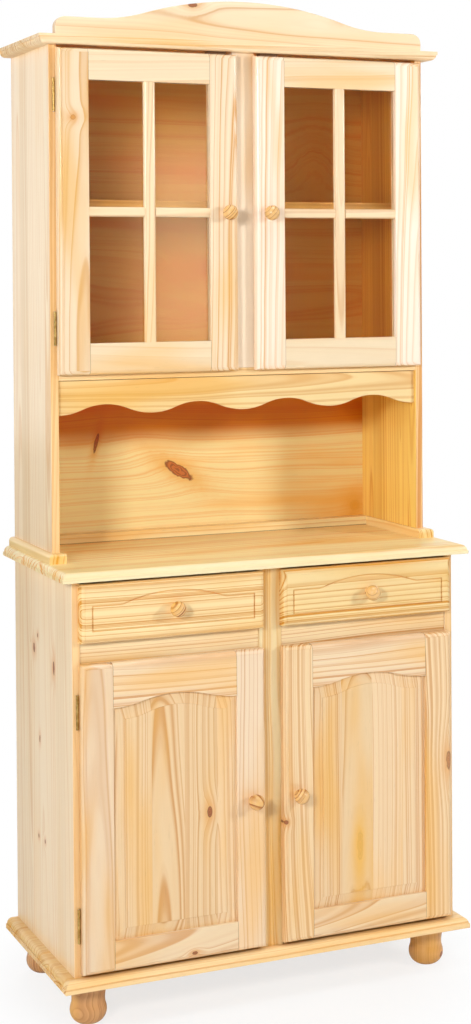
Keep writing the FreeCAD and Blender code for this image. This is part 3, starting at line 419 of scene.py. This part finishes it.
baseSideKnots = (
    {"at": (-0.045, 0.655), "half": (0.005, 0.013), "pull": 0.008},
    {"at": (0.085, 0.672), "half": (0.006, 0.009), "pull": 0.008},
    {"at": (0.060, 0.700), "half": (0.003, 0.004), "pull": 0.004},
    {"at": (0.050, 0.500), "half": (0.003, 0.007), "pull": 0.004},
    {"at": (0.062, 0.306), "half": (0.003, 0.004), "pull": 0.004},
    {"at": (0.020, 0.306), "half": (0.003, 0.004), "pull": 0.004},
)
wear(makePine("leftBaseSidePine", seed=9.0, face=-sideFace, knots=baseSideKnots, **sideBoards),
     "base_side_left")
wear(makePine("rightBaseSidePine", seed=10.0, face=sideFace, knots=baseSideKnots[1:4], **sideBoards),
     "base_side_right", "base_partition")
posts = {"staveWidth": 0.2, "staveShift": 0.1, "face": -0.15}
wear(makePine("basePostPine", seed=3.0, early=(255, 234, 186), late=(228, 170, 90), **posts),
     "base_post")
# painted highlight: a paler, greyer copy of the post finish for the hutch post
wear(makePine("hutchPostGlarePine", seed=3.0, early=(253, 234, 208), late=(226, 176, 116), **posts),
     "hutch_post")

topBoards = {
    "axes": "YZX", "staveWidth": 0.050, "staveShift": 0.0133, "pithDepth": 0.05, "pithReach": 0.16,
    "ringSpacing": 0.0105, "contrast": 0.7, "toneSpread": 0.08,
    "early": (251, 217, 158), "late": (210, 134, 44),
    "coat": 0.1, "coatRough": 0.3, "gloss": 0.25,  # duller, as they are seen at a flat angle
}
wear(makePine("counterPine", seed=12.0, face=0.856, **{
    **topBoards, "early": (255, 239, 194), "late": (234, 160, 65),
    "amber": (((255, 254, 237), ("Z", 0.8546, 0.8557)),)}),  # painted highlight: the front edge stays paler than the top, which is tinted deeper
    "countertop")
wear(makePine("baseBoardPine", seed=17.0, face=0.1, **topBoards), "base_board")
wear(makePine("cornicePine", seed=23.0, face=1.86, **{
    **topBoards, "early": (252, 226, 184), "late": (216, 152, 72)}), "cornice")
wear(makePine("shelfPine", seed=29.0, face=0.38, **topBoards), "base_shelves", "hutch_floor")
# painted shade: a darker copy of the shelf finish for the shelf inside the hutch
wear(makePine("hutchShelfShadedPine", seed=29.0, face=1.53, **{
    **topBoards, "early": (226, 166, 92), "late": (178, 102, 36)}), "hutch_shelf")

wideBoards = {"axes": "ZYX", "face": -0.0567, "pithDepth": 0.05, "lean": 0.05, "contrast": 0.6}
wear(makePine("crownPine", seed=31.0, **{
    **wideBoards, "early": (250, 230, 194), "blush": 0.3, "contrast": 0.85,
    "staveShift": -1.7, "staveWidth": 0.4}, knots=(
        {"at": (1.930, -0.112), "half": (0.005, 0.010), "pull": 0.008, "spread": 3.5, "halo": 0.6},
        {"at": (1.9165, 0.218), "half": (0.005, 0.011), "pull": 0.006, "spread": 3.0},
    )), "crown_board")
# painted shadow: a dark line along the apron's top, under the hutch's floor
wear(makePine("apronPine", seed=37.0, **{
    **wideBoards, "face": -0.0322, "staveShift": -1.0, "lean": 0.12,
    "early": (254, 226, 168), "late": (216, 142, 40)}, seams=(
        ("Z", 1.2015, 0.0014),)), "scalloped_apron")
wear(makePine("railPine", seed=1568.0, **{
    **wideBoards, "face": -0.157, "staveShift": 0.0, "contrast": 0.95, "pithReach": 0.3,
    "early": (253, 228, 180), "ringSpacing": 0.008}), "drawer_rails")
# a dark line at the strip's foot: its joint with the counter, and painted shadow there
wear(makePine("rearStripPine", seed=763.0, axes="YZX", face=0.874, pithDepth=0.03, pithReach=0.5,
              ringSpacing=0.006, wander=0.01, lean=0.01,
              early=(255, 236, 180), late=(228, 160, 62), seams=(("Z", 0.8562, 0.0012),)),
     "hutch_rear_strip")
wear(makePine("footStripPine", seed=43.0, axes="XZY", face=0.874, pithDepth=0.03, pithReach=0.04,
              early=(255, 228, 164), late=(226, 158, 60)),
     "hutch_foot_strips")

veneer = {
    "axes": "ZYX", "face": 0.2098, "staveWidth": 0.33, "pithDepth": 0.20, "pithReach": 0.55,
    "ringSpacing": 0.019, "lean": 0.02, "wander": 0.03, "contrast": 0.5, "toneSpread": 0.06,
    "blush": 0.8, "early": (255, 236, 172), "late": (242, 158, 44), "blushColour": (252, 178, 60),
}
backFront = ("Y", 0.2125, 0.2105)                    # the face that is seen through the doors
rearTint = ((252, 234, 236), ("Y", 0.2105, 0.2125))  # paler behind
wear(makePine("hutchBackPine", seed=389.0, staveShift=-0.874, core=(198, 102, 30),
              halo=(240, 170, 52), bark=(84, 38, 14), coat=0.15, amber=(
    ((226, 149, 28), ("Z", 1.04, 1.088), ("Z", 1.216, 1.205), backFront),  # painted shadow at the top of the niche, under the hutch's floor
    # painted shade behind the glass
    ((234, 186, 114), behindGlass, backFront),
    rearTint,
), knots=(
    {"at": (1.057, -0.228), "half": (0.020, 0.004), "turn": 0.25, "pull": 0.004, "spread": 2.0},
    {"at": (0.992, -0.048), "half": (0.011, 0.036), "turn": 0.55, "pull": 0.014, "dark": 0.9},
    {"at": (0.896, 0.365), "half": (0.012, 0.012), "pull": 0.006, "dark": 0.06, "halo": 0.9},
    {"at": (1.405, 0.030), "half": (0.026, 0.050), "pull": 0.045, "spread": 1.7, "dark": 0.0,
     "halo": 0.4},
    {"at": (1.650, 0.270), "half": (0.040, 0.030), "pull": 0.045, "spread": 1.7, "dark": 0.0,
     "halo": 0.3},
), **veneer), "hutch_back_panel")
wear(makePine("baseBackPine", seed=53.0, staveShift=-0.1, amber=(rearTint,), **veneer),
     "base_back_panel", *pair("drawer_floor"))

upperFace, lowerFace = -0.0628, -0.1828  # fronts of the doors
railJoints = (("X", 0.0795, 0.0008), ("X", 0.328, 0.0008))  # where rails meet the stiles
doorStiles = {"staveWidth": 0.1028, "staveShift": -0.0019, "pithDepth": 0.06, "lean": 0.03,
              "wander": 0.03}  # one stave on each stile
upperStiles = {**doorStiles, "seed": 1366.0, "toneSpread": 0.16, "face": upperFace,
               "ringSpacing": 0.0085, "pithReach": 0.2, "core": (222, 150, 56),
               "bark": (160, 88, 26), "knots": (
    {"at": (-0.359, 1.7035), "half": (0.005, 0.005), "dark": 0.6, "pull": 0.006},
)}
wear(makePine("leftUpperStilePine", early=(252, 230, 198), late=(220, 154, 66), **upperStiles),
     "upper_stiles_left")
# painted highlight: a paler copy of the stile finish for the right-hand stiles
wear(makePine("rightUpperStileHighlightPine", early=(253, 234, 212), late=(226, 170, 96), **upperStiles),
     "upper_stiles_right")
wear(makePine("upperRailPine", seed=1269.0, axes="ZYX", face=upperFace, contrast=0.45,
              early=(244, 222, 186), late=(224, 170, 98), seams=railJoints,
              staveWidth=0.2, staveShift=0.094), *pair("upper_rails"))
wear(makePine("glazingPine", seed=67.0, face=upperFace, staveWidth=0.1, early=(251, 226, 186),
              crossBar=(1.513, 1.536, 0.20375, 0.0115),  # bottom, top, middle and half the upright
              contrast=0.5), *pair("glazing_bars", "glazing_beads"))
lowerStiles = {**doorStiles, "seed": 4694.0, "face": lowerFace, "ringSpacing": 0.0085,
               "pithReach": 0.2, "knots": (
    {"at": (0.0231, 0.342), "half": (0.004, 0.004), "pull": 0.006},
    {"at": (0.381, 0.424), "half": (0.007, 0.018), "pull": 0.012, "spread": 4.5, "dark": 0.55},
)}
wear(makePine("leftLowerStilePine", early=(241, 215, 181), late=(204, 134, 48), **lowerStiles),
     "lower_stiles_left")
wear(makePine("rightLowerStilePine", **lowerStiles), "lower_stiles_right")
wear(makePine("lowerRailPine", seed=73.0, axes="ZYX", face=lowerFace, staveShift=0.0, knots=(
    {"at": (0.119, -0.169), "half": (0.003, 0.005), "pull": 0.006},
), seams=railJoints, lean=0.06, early=(243, 218, 179)), *pair("lower_rails"))
raisedPanel = {"face": lowerFace, "staveWidth": 0.066, "staveShift": -0.011, "pithDepth": 0.05,
               "pithReach": 0.2, "ringSpacing": 0.009, "toneSpread": 0.12, "lean": 0.03,
               "contrast": 0.76, "early": (242, 211, 166)}
wear(makePine("leftPanelPine", seed=47944.0, knots=(
    {"at": (-0.1364, 0.3836), "half": (0.005, 0.010), "pull": 0.010},
), **raisedPanel), "lower_panel_left")
wear(makePine("rightPanelPine", seed=34406.0, halo=(244, 186, 70), knots=(
    {"at": (0.181, 0.277), "half": (0.006, 0.028), "pull": 0.012, "dark": 0.10, "spread": 3.0,
     "halo": 0.8},
), **raisedPanel), "lower_panel_right")
drawerBoard = {"axes": "ZYX", "face": -0.1808, "staveWidth": 0.4, "pithReach": 0.0, "lean": 0.008,
               "wander": 0.010, "contrast": 1.15, "early": (254, 226, 168), "late": (216, 142, 36),
               "amber": (  # painted shade: a darker line in the scribed groove
                   ((246, 226, 194), ("Y", 0.1804, 0.1798), ("Y", 0.1780, 0.1786),
                    ("X", 0.0315, 0.0335), ("X", 0.376, 0.374), ("Z", 0.734, 0.736),
                    ("Z", 0.820, 0.818)),)}
wear(makePine("leftDrawerPine", seed=83.0, staveShift=-0.577, pithDepth=0.006, ringSpacing=0.008,
              **drawerBoard), "drawer_front_left")
wear(makePine("rightDrawerPine", seed=84.0, staveShift=-0.618, pithDepth=-0.028, ringSpacing=0.0085,
              **drawerBoard), "drawer_front_right")
wear(makePine("drawerSidePine", seed=89.0, axes="ZXY", staveShift=-0.6, coat=0.1,
              contrast=0.55), *pair("drawer_sides"), "drawer_runners")
wear(makePine("drawerRearPine", seed=97.0, axes="ZYX", staveShift=-0.6, coat=0.1, contrast=0.55),
     *pair("drawer_rear"))
# painted shade: the feet are darker overall, as they stand in the base's shadow
wear(makePine("footShadedPine", seed=101.0, staveWidth=0.5, staveShift=0.0, pithDepth=0.03,
              pithReach=0.06, ringSpacing=0.006, wander=0.006, lean=0.01,
              early=(212, 158, 98), late=(160, 92, 36),
              knots=({"at": (0.381, 0.019), "half": (0.005, 0.006), "pull": 0.006},)), "bun_feet")
wear(makePine("knobPine", seed=107.0, axes="YXZ", turn=(0.2, -0.7, 0.0), ringSpacing=0.006,
              pithDepth=0.4, early=(244, 198, 130), late=(168, 92, 34), contrast=1.3, wander=0.01,
              coat=0.8, coatRough=0.04),
     *pair("upper_knob", "lower_knob", "drawer_knob"))
print("pine finishes made:", sum(finish.name.endswith("Pine") for finish in bpy.data.materials))

metalSkin = {"stain": 160.0, "stainEdge": (0.3, 0.7), "brush": (900, 900, 60), "brushRough": 0.16,
             "relief": (0.2, 0.0002)}
paneGlass = {"clear": (252, 254, 252), "smeared": (246, 251, 248), "smear": 14.0, "ripple": 5.0,
             "hazeEdge": (0.5, 0.8), "haze": 0.008, "relief": (0.05, 0.0006), "bend": 1.46,
             "shade": (214, 204, 192)}
catchShell = {"light": (128, 88, 52), "dark": (110, 74, 42), "mottle": 220.0, "rough": 0.38,
              "mottleRough": 0.2, "relief": (0.15, 0.0002)}


def makeMetal(name, bright, dull, rough):
    material, tree, shader, coordinates = newFinish(name)
    spot = coordinates["Object"]
    stain = cloud(tree, spot, scale=metalSkin["stain"], detail=3.0)["Fac"]
    brush = cloud(tree, put(tree, "ShaderNodeMapping", Vector=spot,
                            Scale=metalSkin["brush"]).outputs[0])["Fac"]
    colour = blendColour(tree, ease(tree, stain, *metalSkin["stainEdge"]), paint(*bright),
                         paint(*dull))
    feed(tree, shader.inputs["Base Color"], colour)
    feed(tree, shader.inputs["Roughness"], plus(
        tree, times(tree, brush, metalSkin["brushRough"]), rough))
    relief(tree, shader, brush, *metalSkin["relief"])
    shader.inputs["Metallic"].default_value = 1.0
    return material


def makeGlass(name):
    material, tree, shader, coordinates = newFinish(name)
    spot = coordinates["Object"]
    smear = cloud(tree, spot, scale=paneGlass["smear"], detail=3.0)["Fac"]
    ripple = cloud(tree, spot, scale=paneGlass["ripple"], detail=1.0)["Fac"]
    feed(tree, shader.inputs["Base Color"], blendColour(
        tree, smear, paint(*paneGlass["clear"]), paint(*paneGlass["smeared"])))
    feed(tree, shader.inputs["Roughness"], ease(
        tree, smear, *paneGlass["hazeEdge"], 0.0, paneGlass["haze"]))
    relief(tree, shader, ripple, *paneGlass["relief"])
    shader.inputs["Transmission Weight"].default_value = 1.0
    shader.inputs["IOR"].default_value = paneGlass["bend"]
    clear = put(tree, "ShaderNodeBsdfTransparent", Color=paint(*paneGlass["shade"]))
    shadowRay = put(tree, "ShaderNodeLightPath").outputs["Is Shadow Ray"]
    pane = put(tree, "ShaderNodeMixShader", Fac=shadowRay)
    feed(tree, pane.inputs[1], shader.outputs[0])
    feed(tree, pane.inputs[2], clear.outputs[0])  # lamps shine through the pane
    feed(tree, tree.nodes["Material Output"].inputs["Surface"], pane.outputs[0])
    return material


def makePlastic(name):
    material, tree, shader, coordinates = newFinish(name)
    mottle = cloud(tree, coordinates["Object"], scale=catchShell["mottle"], detail=3.0)["Fac"]
    feed(tree, shader.inputs["Base Color"], blendColour(
        tree, mottle, paint(*catchShell["light"]), paint(*catchShell["dark"])))
    feed(tree, shader.inputs["Roughness"], plus(
        tree, times(tree, mottle, catchShell["mottleRough"]), catchShell["rough"]))
    relief(tree, shader, mottle, *catchShell["relief"])
    return material


hingeBrass = makeMetal("hingeBrass", (214, 184, 116), (176, 140, 76), 0.26)
zincSteel = makeMetal("zincSteel", (206, 206, 200), (168, 168, 164), 0.30)
wear(hingeBrass, "hinge_frame_leaves", *pair("upper_door_fittings", "lower_door_fittings"))
wear(zincSteel, "hinge_pins", "shelf_pins")
wear(makeGlass("doorGlass"), *pair("upper_glass"))
wear(makePlastic("catchPlastic"), "door_catches")
print("metal, glass and plastic finishes made")

screws = {  # metres
    "headRadius": 0.0026, "headHeight": 0.0008, "slotWidth": 0.0008, "slotDepth": 0.0005,
    "corners": 20, "topShare": 0.62, "slotShare": 1.05,  # shares of the head's radius
    "knobScrew": 1.6,                # how much larger the knobs' own screws are
    "sunk": 0.00005,                 # heads bed this far into what they hold
    "frameLeaf": 0.3828,             # from the cabinet's middle to the leaf on the side board
    "leafHoles": (                   # height on the hinge, depth on the board, place on the door
        (-0.022, 0.012, 0.3770), (0.0, 0.018, 0.3715), (0.022, 0.012, 0.3770)),
    "catchHoles": (0.0425, 0.0695),  # out from the cabinet's middle
    "catchIn": 0.0075,               # behind the door's leaf
}
hingeHeights = {"lower": (0.196, 0.594), "upper": (1.302, 1.747)}
boardFront = {"lower": -0.1602, "upper": -0.0402}  # front edge of the side boards
doorBack = {"lower": -0.1628, "upper": -0.0428, "drawer": -0.1608}
leafBack = {"lower": -0.1616, "upper": -0.0416}    # face of the leaf on a door's back
knobPlace = {"lower": (0.0475, 0.395), "upper": (0.0445, 1.5245), "drawer": (0.20375, 0.777)}
catchFoot = {"lower": 0.655, "upper": 1.826}       # underside of the catches


def makeScrewTree():
    tree = bpy.data.node_groups.new("crossSlotScrews", "GeometryNodeTree")
    face = tree.interface
    face.new_socket("Geometry", in_out="INPUT", socket_type="NodeSocketGeometry")
    for label in ("Head Radius", "Head Height", "Slot Width", "Slot Depth"):
        face.new_socket(label, in_out="INPUT", socket_type="NodeSocketFloat")
    face.new_socket("Finish", in_out="INPUT", socket_type="NodeSocketMaterial")
    face.new_socket("Geometry", in_out="OUTPUT", socket_type="NodeSocketGeometry")
    given = tree.nodes.new("NodeGroupInput").outputs
    head = put(tree, "GeometryNodeMeshCone", Vertices=screws["corners"],
               Radius_Bottom=given["Head Radius"], Depth=given["Head Height"],
               Radius_Top=times(tree, given["Head Radius"], screws["topShare"]))
    long = times(tree, given["Head Radius"], screws["slotShare"])
    deep = times(tree, given["Slot Depth"], 2.0)  # half of the cutter stands above the head
    cutHead = put(tree, "GeometryNodeMeshBoolean", {"operation": "DIFFERENCE"},
                  Mesh_1=head.outputs["Mesh"])
    for size in ((long, given["Slot Width"]), (given["Slot Width"], long)):
        bar = put(tree, "GeometryNodeMeshCube", Size=join(tree, *size, deep))
        raised = put(tree, "GeometryNodeTransform", Geometry=bar.outputs["Mesh"],
                     Translation=join(tree, 0.0, 0.0, given["Head Height"]))
        tree.links.new(raised.outputs["Geometry"], cutHead.inputs["Mesh 2"])
    facing = put(tree, "GeometryNodeInputNamedAttribute", {"data_type": "FLOAT_VECTOR"},
                 Name="facing")
    size = put(tree, "GeometryNodeInputNamedAttribute", {"data_type": "FLOAT"}, Name="headSize")
    turn = put(tree, "FunctionNodeAlignRotationToVector", {"axis": "Z"},
               Vector=facing.outputs["Attribute"])
    spread = put(tree, "GeometryNodeInstanceOnPoints", Points=given["Geometry"],
                 Instance=cutHead.outputs["Mesh"], Rotation=turn.outputs["Rotation"],
                 Scale=size.outputs["Attribute"])
    solid = put(tree, "GeometryNodeRealizeInstances", Geometry=spread.outputs["Instances"])
    done = put(tree, "GeometryNodeSetMaterial", Geometry=solid.outputs["Geometry"],
               Material=given["Finish"])
    tree.links.new(done.outputs["Geometry"], tree.nodes.new("NodeGroupOutput").inputs["Geometry"])
    return tree


def screwSpots():  # body -> list of place, facing and size
    spots = {body: [] for body in frame["bodies"]}
    for hand, sign in (("left", -1), ("right", 1)):
        for row in ("lower", "upper"):
            door = spots[f"{row}_{hand}_door"]
            for middle in hingeHeights[row]:
                for lift, back, side in screws["leafHoles"]:
                    level = middle + lift
                    spots["carcass"].append((
                        (sign * screws["frameLeaf"], boardFront[row] + back, level),
                        (-sign, 0, 0), 1.0))
                    door.append(((sign * side, leafBack[row], level), (0, 1, 0), 1.0))
            for side in screws["catchHoles"]:
                spots["carcass"].append(((sign * side, leafBack[row] + screws["catchIn"],
                                          catchFoot[row]), (0, 0, -1), 1.0))
            side, height = knobPlace[row]
            door.append(((sign * side, doorBack[row], height), (0, 1, 0), screws["knobScrew"]))
        side, height = knobPlace["drawer"]
        spots[f"drawer_{hand}"].append(((sign * side, doorBack["drawer"], height), (0, 1, 0),
                                        screws["knobScrew"]))
    return spots


def makeScrews():
    tree = makeScrewTree()
    sockets = {item.name: item.identifier for item in tree.interface.items_tree
               if item.in_out == "INPUT"}
    for body, spots in screwSpots().items():
        seats = bpy.data.meshes.new("screwSeats")
        seats.from_pydata([Vector(place) - Vector(facing) * screws["sunk"]
                           for place, facing, size in spots], [], [])
        seats.attributes.new("facing", "FLOAT_VECTOR", "POINT")
        seats.attributes.new("headSize", "FLOAT", "POINT")
        for number, (place, facing, size) in enumerate(spots):  # looked up anew, adding moves them
            seats.attributes["facing"].data[number].vector = facing
            seats.attributes["headSize"].data[number].value = size
        holder = bpy.data.objects.new("screwSeats", seats)
        scene.collection.objects.link(holder)
        maker = holder.modifiers.new("crossSlotScrews", "NODES")
        maker.node_group = tree
        for label, key in (("Head Radius", "headRadius"), ("Head Height", "headHeight"),
                           ("Slot Width", "slotWidth"), ("Slot Depth", "slotDepth")):
            maker[sockets[label]] = screws[key]
        maker[sockets["Finish"]] = zincSteel
        depsgraph = bpy.context.evaluated_depsgraph_get()
        mesh = bpy.data.meshes.new_from_object(holder.evaluated_get(depsgraph), depsgraph=depsgraph)
        holder.modifiers.remove(maker)
        bpy.data.objects.remove(holder)
        mesh.name = f"screws_{body}"
        piece = bpy.data.objects.new(f"screws_{body}", mesh)
        scene.collection.objects.link(piece)
        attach(piece, body)
        print("screws on", body, ":", len(spots), "heads,", len(mesh.polygons), "faces")


makeScrews()

room = {
    "ambient": 0.13, "darkSide": 0.12, "darkEdge": (-0.55, 0.1),
    "floorReach": 12.0, "floorWhite": (250, 250, 249), "floorFleck": (247, 247, 246), "fleck": 60.0,
    "shadowReach": (0.30, 0.58), "shadowLift": 0.74,  # the floor keeps a shadow only near the feet
}


def makeWorld():
    world = bpy.data.worlds.new("studioRoom")
    scene.world = world
    world.use_nodes = True
    tree = world.node_tree
    tree.nodes.clear()
    path = put(tree, "ShaderNodeLightPath").outputs
    mirrored = calc(tree, "MAXIMUM", path["Is Glossy Ray"], path["Is Transmission Ray"])
    facing = split(tree, put(tree, "ShaderNodeTexCoord").outputs["Generated"])[1]
    backdrop = ease(tree, facing, *room["darkEdge"], room["darkSide"], 1.0)  # dim behind the camera
    plain = ease(tree, path["Is Camera Ray"], 0.0, 1.0, room["ambient"], 1.0)
    strength = put(tree, "ShaderNodeMix", Factor=mirrored, A=plain, B=backdrop).outputs[0]
    sky = put(tree, "ShaderNodeBackground", Color=(1, 1, 1, 1), Strength=strength)
    feed(tree, put(tree, "ShaderNodeOutputWorld").inputs["Surface"], sky.outputs[0])


def makeFloor():
    reach = room["floorReach"]
    mesh = bpy.data.meshes.new("studioFloor")
    corners = [(-reach, -reach, 0), (reach, -reach, 0), (reach, reach, 0), (-reach, reach, 0)]
    mesh.from_pydata(corners, [], [(0, 1, 2, 3)])
    floor = bpy.data.objects.new("studioFloor", mesh)
    scene.collection.objects.link(floor)
    material = bpy.data.materials.new("studioPaper")
    material.use_nodes = True
    tree = material.node_tree
    tree.nodes.clear()
    spot = put(tree, "ShaderNodeTexCoord").outputs["Object"]
    away = put(tree, "ShaderNodeVectorMath", {"operation": "LENGTH"}, Vector=spot).outputs["Value"]
    path = put(tree, "ShaderNodeLightPath").outputs
    seen = calc(tree, "MAXIMUM", path["Is Camera Ray"], path["Is Transmission Ray"])
    white = times(tree, ease(tree, away, *room["shadowReach"], room["shadowLift"], 1.0), seen)
    speck = cloud(tree, spot, scale=room["fleck"])["Fac"]
    paper = put(tree, "ShaderNodeBsdfDiffuse", Color=blendColour(
        tree, speck, paint(*room["floorWhite"]), paint(*room["floorFleck"])))
    glow = put(tree, "ShaderNodeEmission", Color=(1, 1, 1, 1), Strength=1.0)
    mix = put(tree, "ShaderNodeMixShader", Fac=white)
    feed(tree, mix.inputs[1], paper.outputs[0])
    feed(tree, mix.inputs[2], glow.outputs[0])
    feed(tree, put(tree, "ShaderNodeOutputMaterial").inputs["Surface"], mix.outputs[0])
    mesh.materials.append(material)


softBoxes = {
    "leftKey": {"place": (-2.7, -2.9, 2.0), "size": (0.6, 0.6), "power": 69.0},
    "rightKey": {"place": (2.7, -2.7, 2.1), "size": (0.6, 0.6), "power": 61.0},
    "sideFill": {"place": (-2.2, -0.6, 1.6), "size": (0.9, 0.9), "power": 15.0},
    "overhead": {"place": (0.2, -0.9, 4.2), "size": (1.6, 1.2), "power": 33.0},
    "backFill": {"place": (1.6, 3.2, 2.4), "size": (1.5, 1.5), "power": 60.0},
}
boxAim = Vector((0.0, -0.15, 1.0))


def makeLights():
    for name, box in softBoxes.items():
        lamp = bpy.data.lights.new(name, "AREA")
        lamp.shape = "RECTANGLE"
        lamp.size, lamp.size_y = box["size"]
        lamp.energy = box["power"]
        light = bpy.data.objects.new(name, lamp)
        light.location = box["place"]
        light.rotation_mode = "QUATERNION"
        light.rotation_quaternion = (light.location - boxAim).to_track_quat("Z", "Y")
        light.visible_camera = False
        light.visible_glossy = not name.endswith("Fill")  # fills leave no white sheen on flat boards
        scene.collection.objects.link(light)


reflector = {"middle": (1.2, -3.5, 1.5), "half": (0.46, 0.7), "glow": 3.5, "tint": (255, 226, 184),
             "full": (0.1, 0.35)}  # the share of each half that glows fully


def makeReflector():  # a warm card that only the panes and the lacquer mirror
    (x, y, z), (wide, high) = reflector["middle"], reflector["half"]
    mesh = bpy.data.meshes.new("reflectorCard")
    mesh.from_pydata([(x - wide, y, z - high), (x + wide, y, z - high), (x + wide, y, z + high),
                      (x - wide, y, z + high)], [], [(0, 1, 2, 3)])
    card = bpy.data.objects.new("reflectorCard", mesh)
    scene.collection.objects.link(card)
    material = bpy.data.materials.new("reflectorSheet")
    material.use_nodes = True
    tree = material.node_tree
    tree.nodes.clear()
    spot = split(tree, put(tree, "ShaderNodeTexCoord").outputs["Object"])
    fade = 1.0
    for axis, middle, half, full in ((0, x, wide, reflector["full"][0]),
                                     (2, z, high, reflector["full"][1])):
        off = calc(tree, "ABSOLUTE", calc(tree, "SUBTRACT", spot[axis], middle))
        fade = times(tree, fade, ease(tree, off, half, half * full))
    glow = put(tree, "ShaderNodeEmission", Color=paint(*reflector["tint"]),
               Strength=times(tree, fade, reflector["glow"]))
    sheet = put(tree, "ShaderNodeMixShader", Fac=fade)
    feed(tree, sheet.inputs[1], put(tree, "ShaderNodeBsdfTransparent").outputs[0])
    feed(tree, sheet.inputs[2], glow.outputs[0])
    feed(tree, put(tree, "ShaderNodeOutputMaterial").inputs["Surface"], sheet.outputs[0])
    mesh.materials.append(material)
    card.visible_camera = card.visible_diffuse = card.visible_shadow = False


photoView = {  # where the picture was taken from, in metres and radians
    "place": (-1.4592, -3.51866, 1.40858), "yaw": 0.42662, "pitch": 0.01605, "roll": -0.00575,
    "focus": 1896.477, "middle": (300.0, 301.68), "picture": (471, 1024),  # in pixels
    "sensor": 36.0,
}


def makeCamera():
    yaw, pitch, roll = photoView["yaw"], photoView["pitch"], photoView["roll"]
    ahead = Vector((math.sin(yaw) * math.cos(pitch), math.cos(yaw) * math.cos(pitch),
                    -math.sin(pitch)))
    level = Vector((math.cos(yaw), -math.sin(yaw), 0.0))
    upward = level.cross(ahead)
    right = level * math.cos(roll) + upward * math.sin(roll)
    top = upward * math.cos(roll) - level * math.sin(roll)
    wide, high = photoView["picture"]
    lens = bpy.data.cameras.new("photoLens")
    lens.sensor_width = photoView["sensor"]
    lens.lens = photoView["focus"] / high * photoView["sensor"]
    lens.shift_x = (wide / 2 - photoView["middle"][0]) / high
    lens.shift_y = (photoView["middle"][1] - high / 2) / high
    camera = bpy.data.objects.new("photoCamera", lens)
    turn = Matrix((right, top, -ahead)).transposed().to_4x4()
    camera.matrix_world = Matrix.Translation(Vector(photoView["place"])) @ turn
    scene.collection.objects.link(camera)
    scene.camera = camera


makeWorld()
makeFloor()
makeLights()
makeReflector()
makeCamera()
scene.view_settings.view_transform = "Standard"
print("room, lights and camera made")
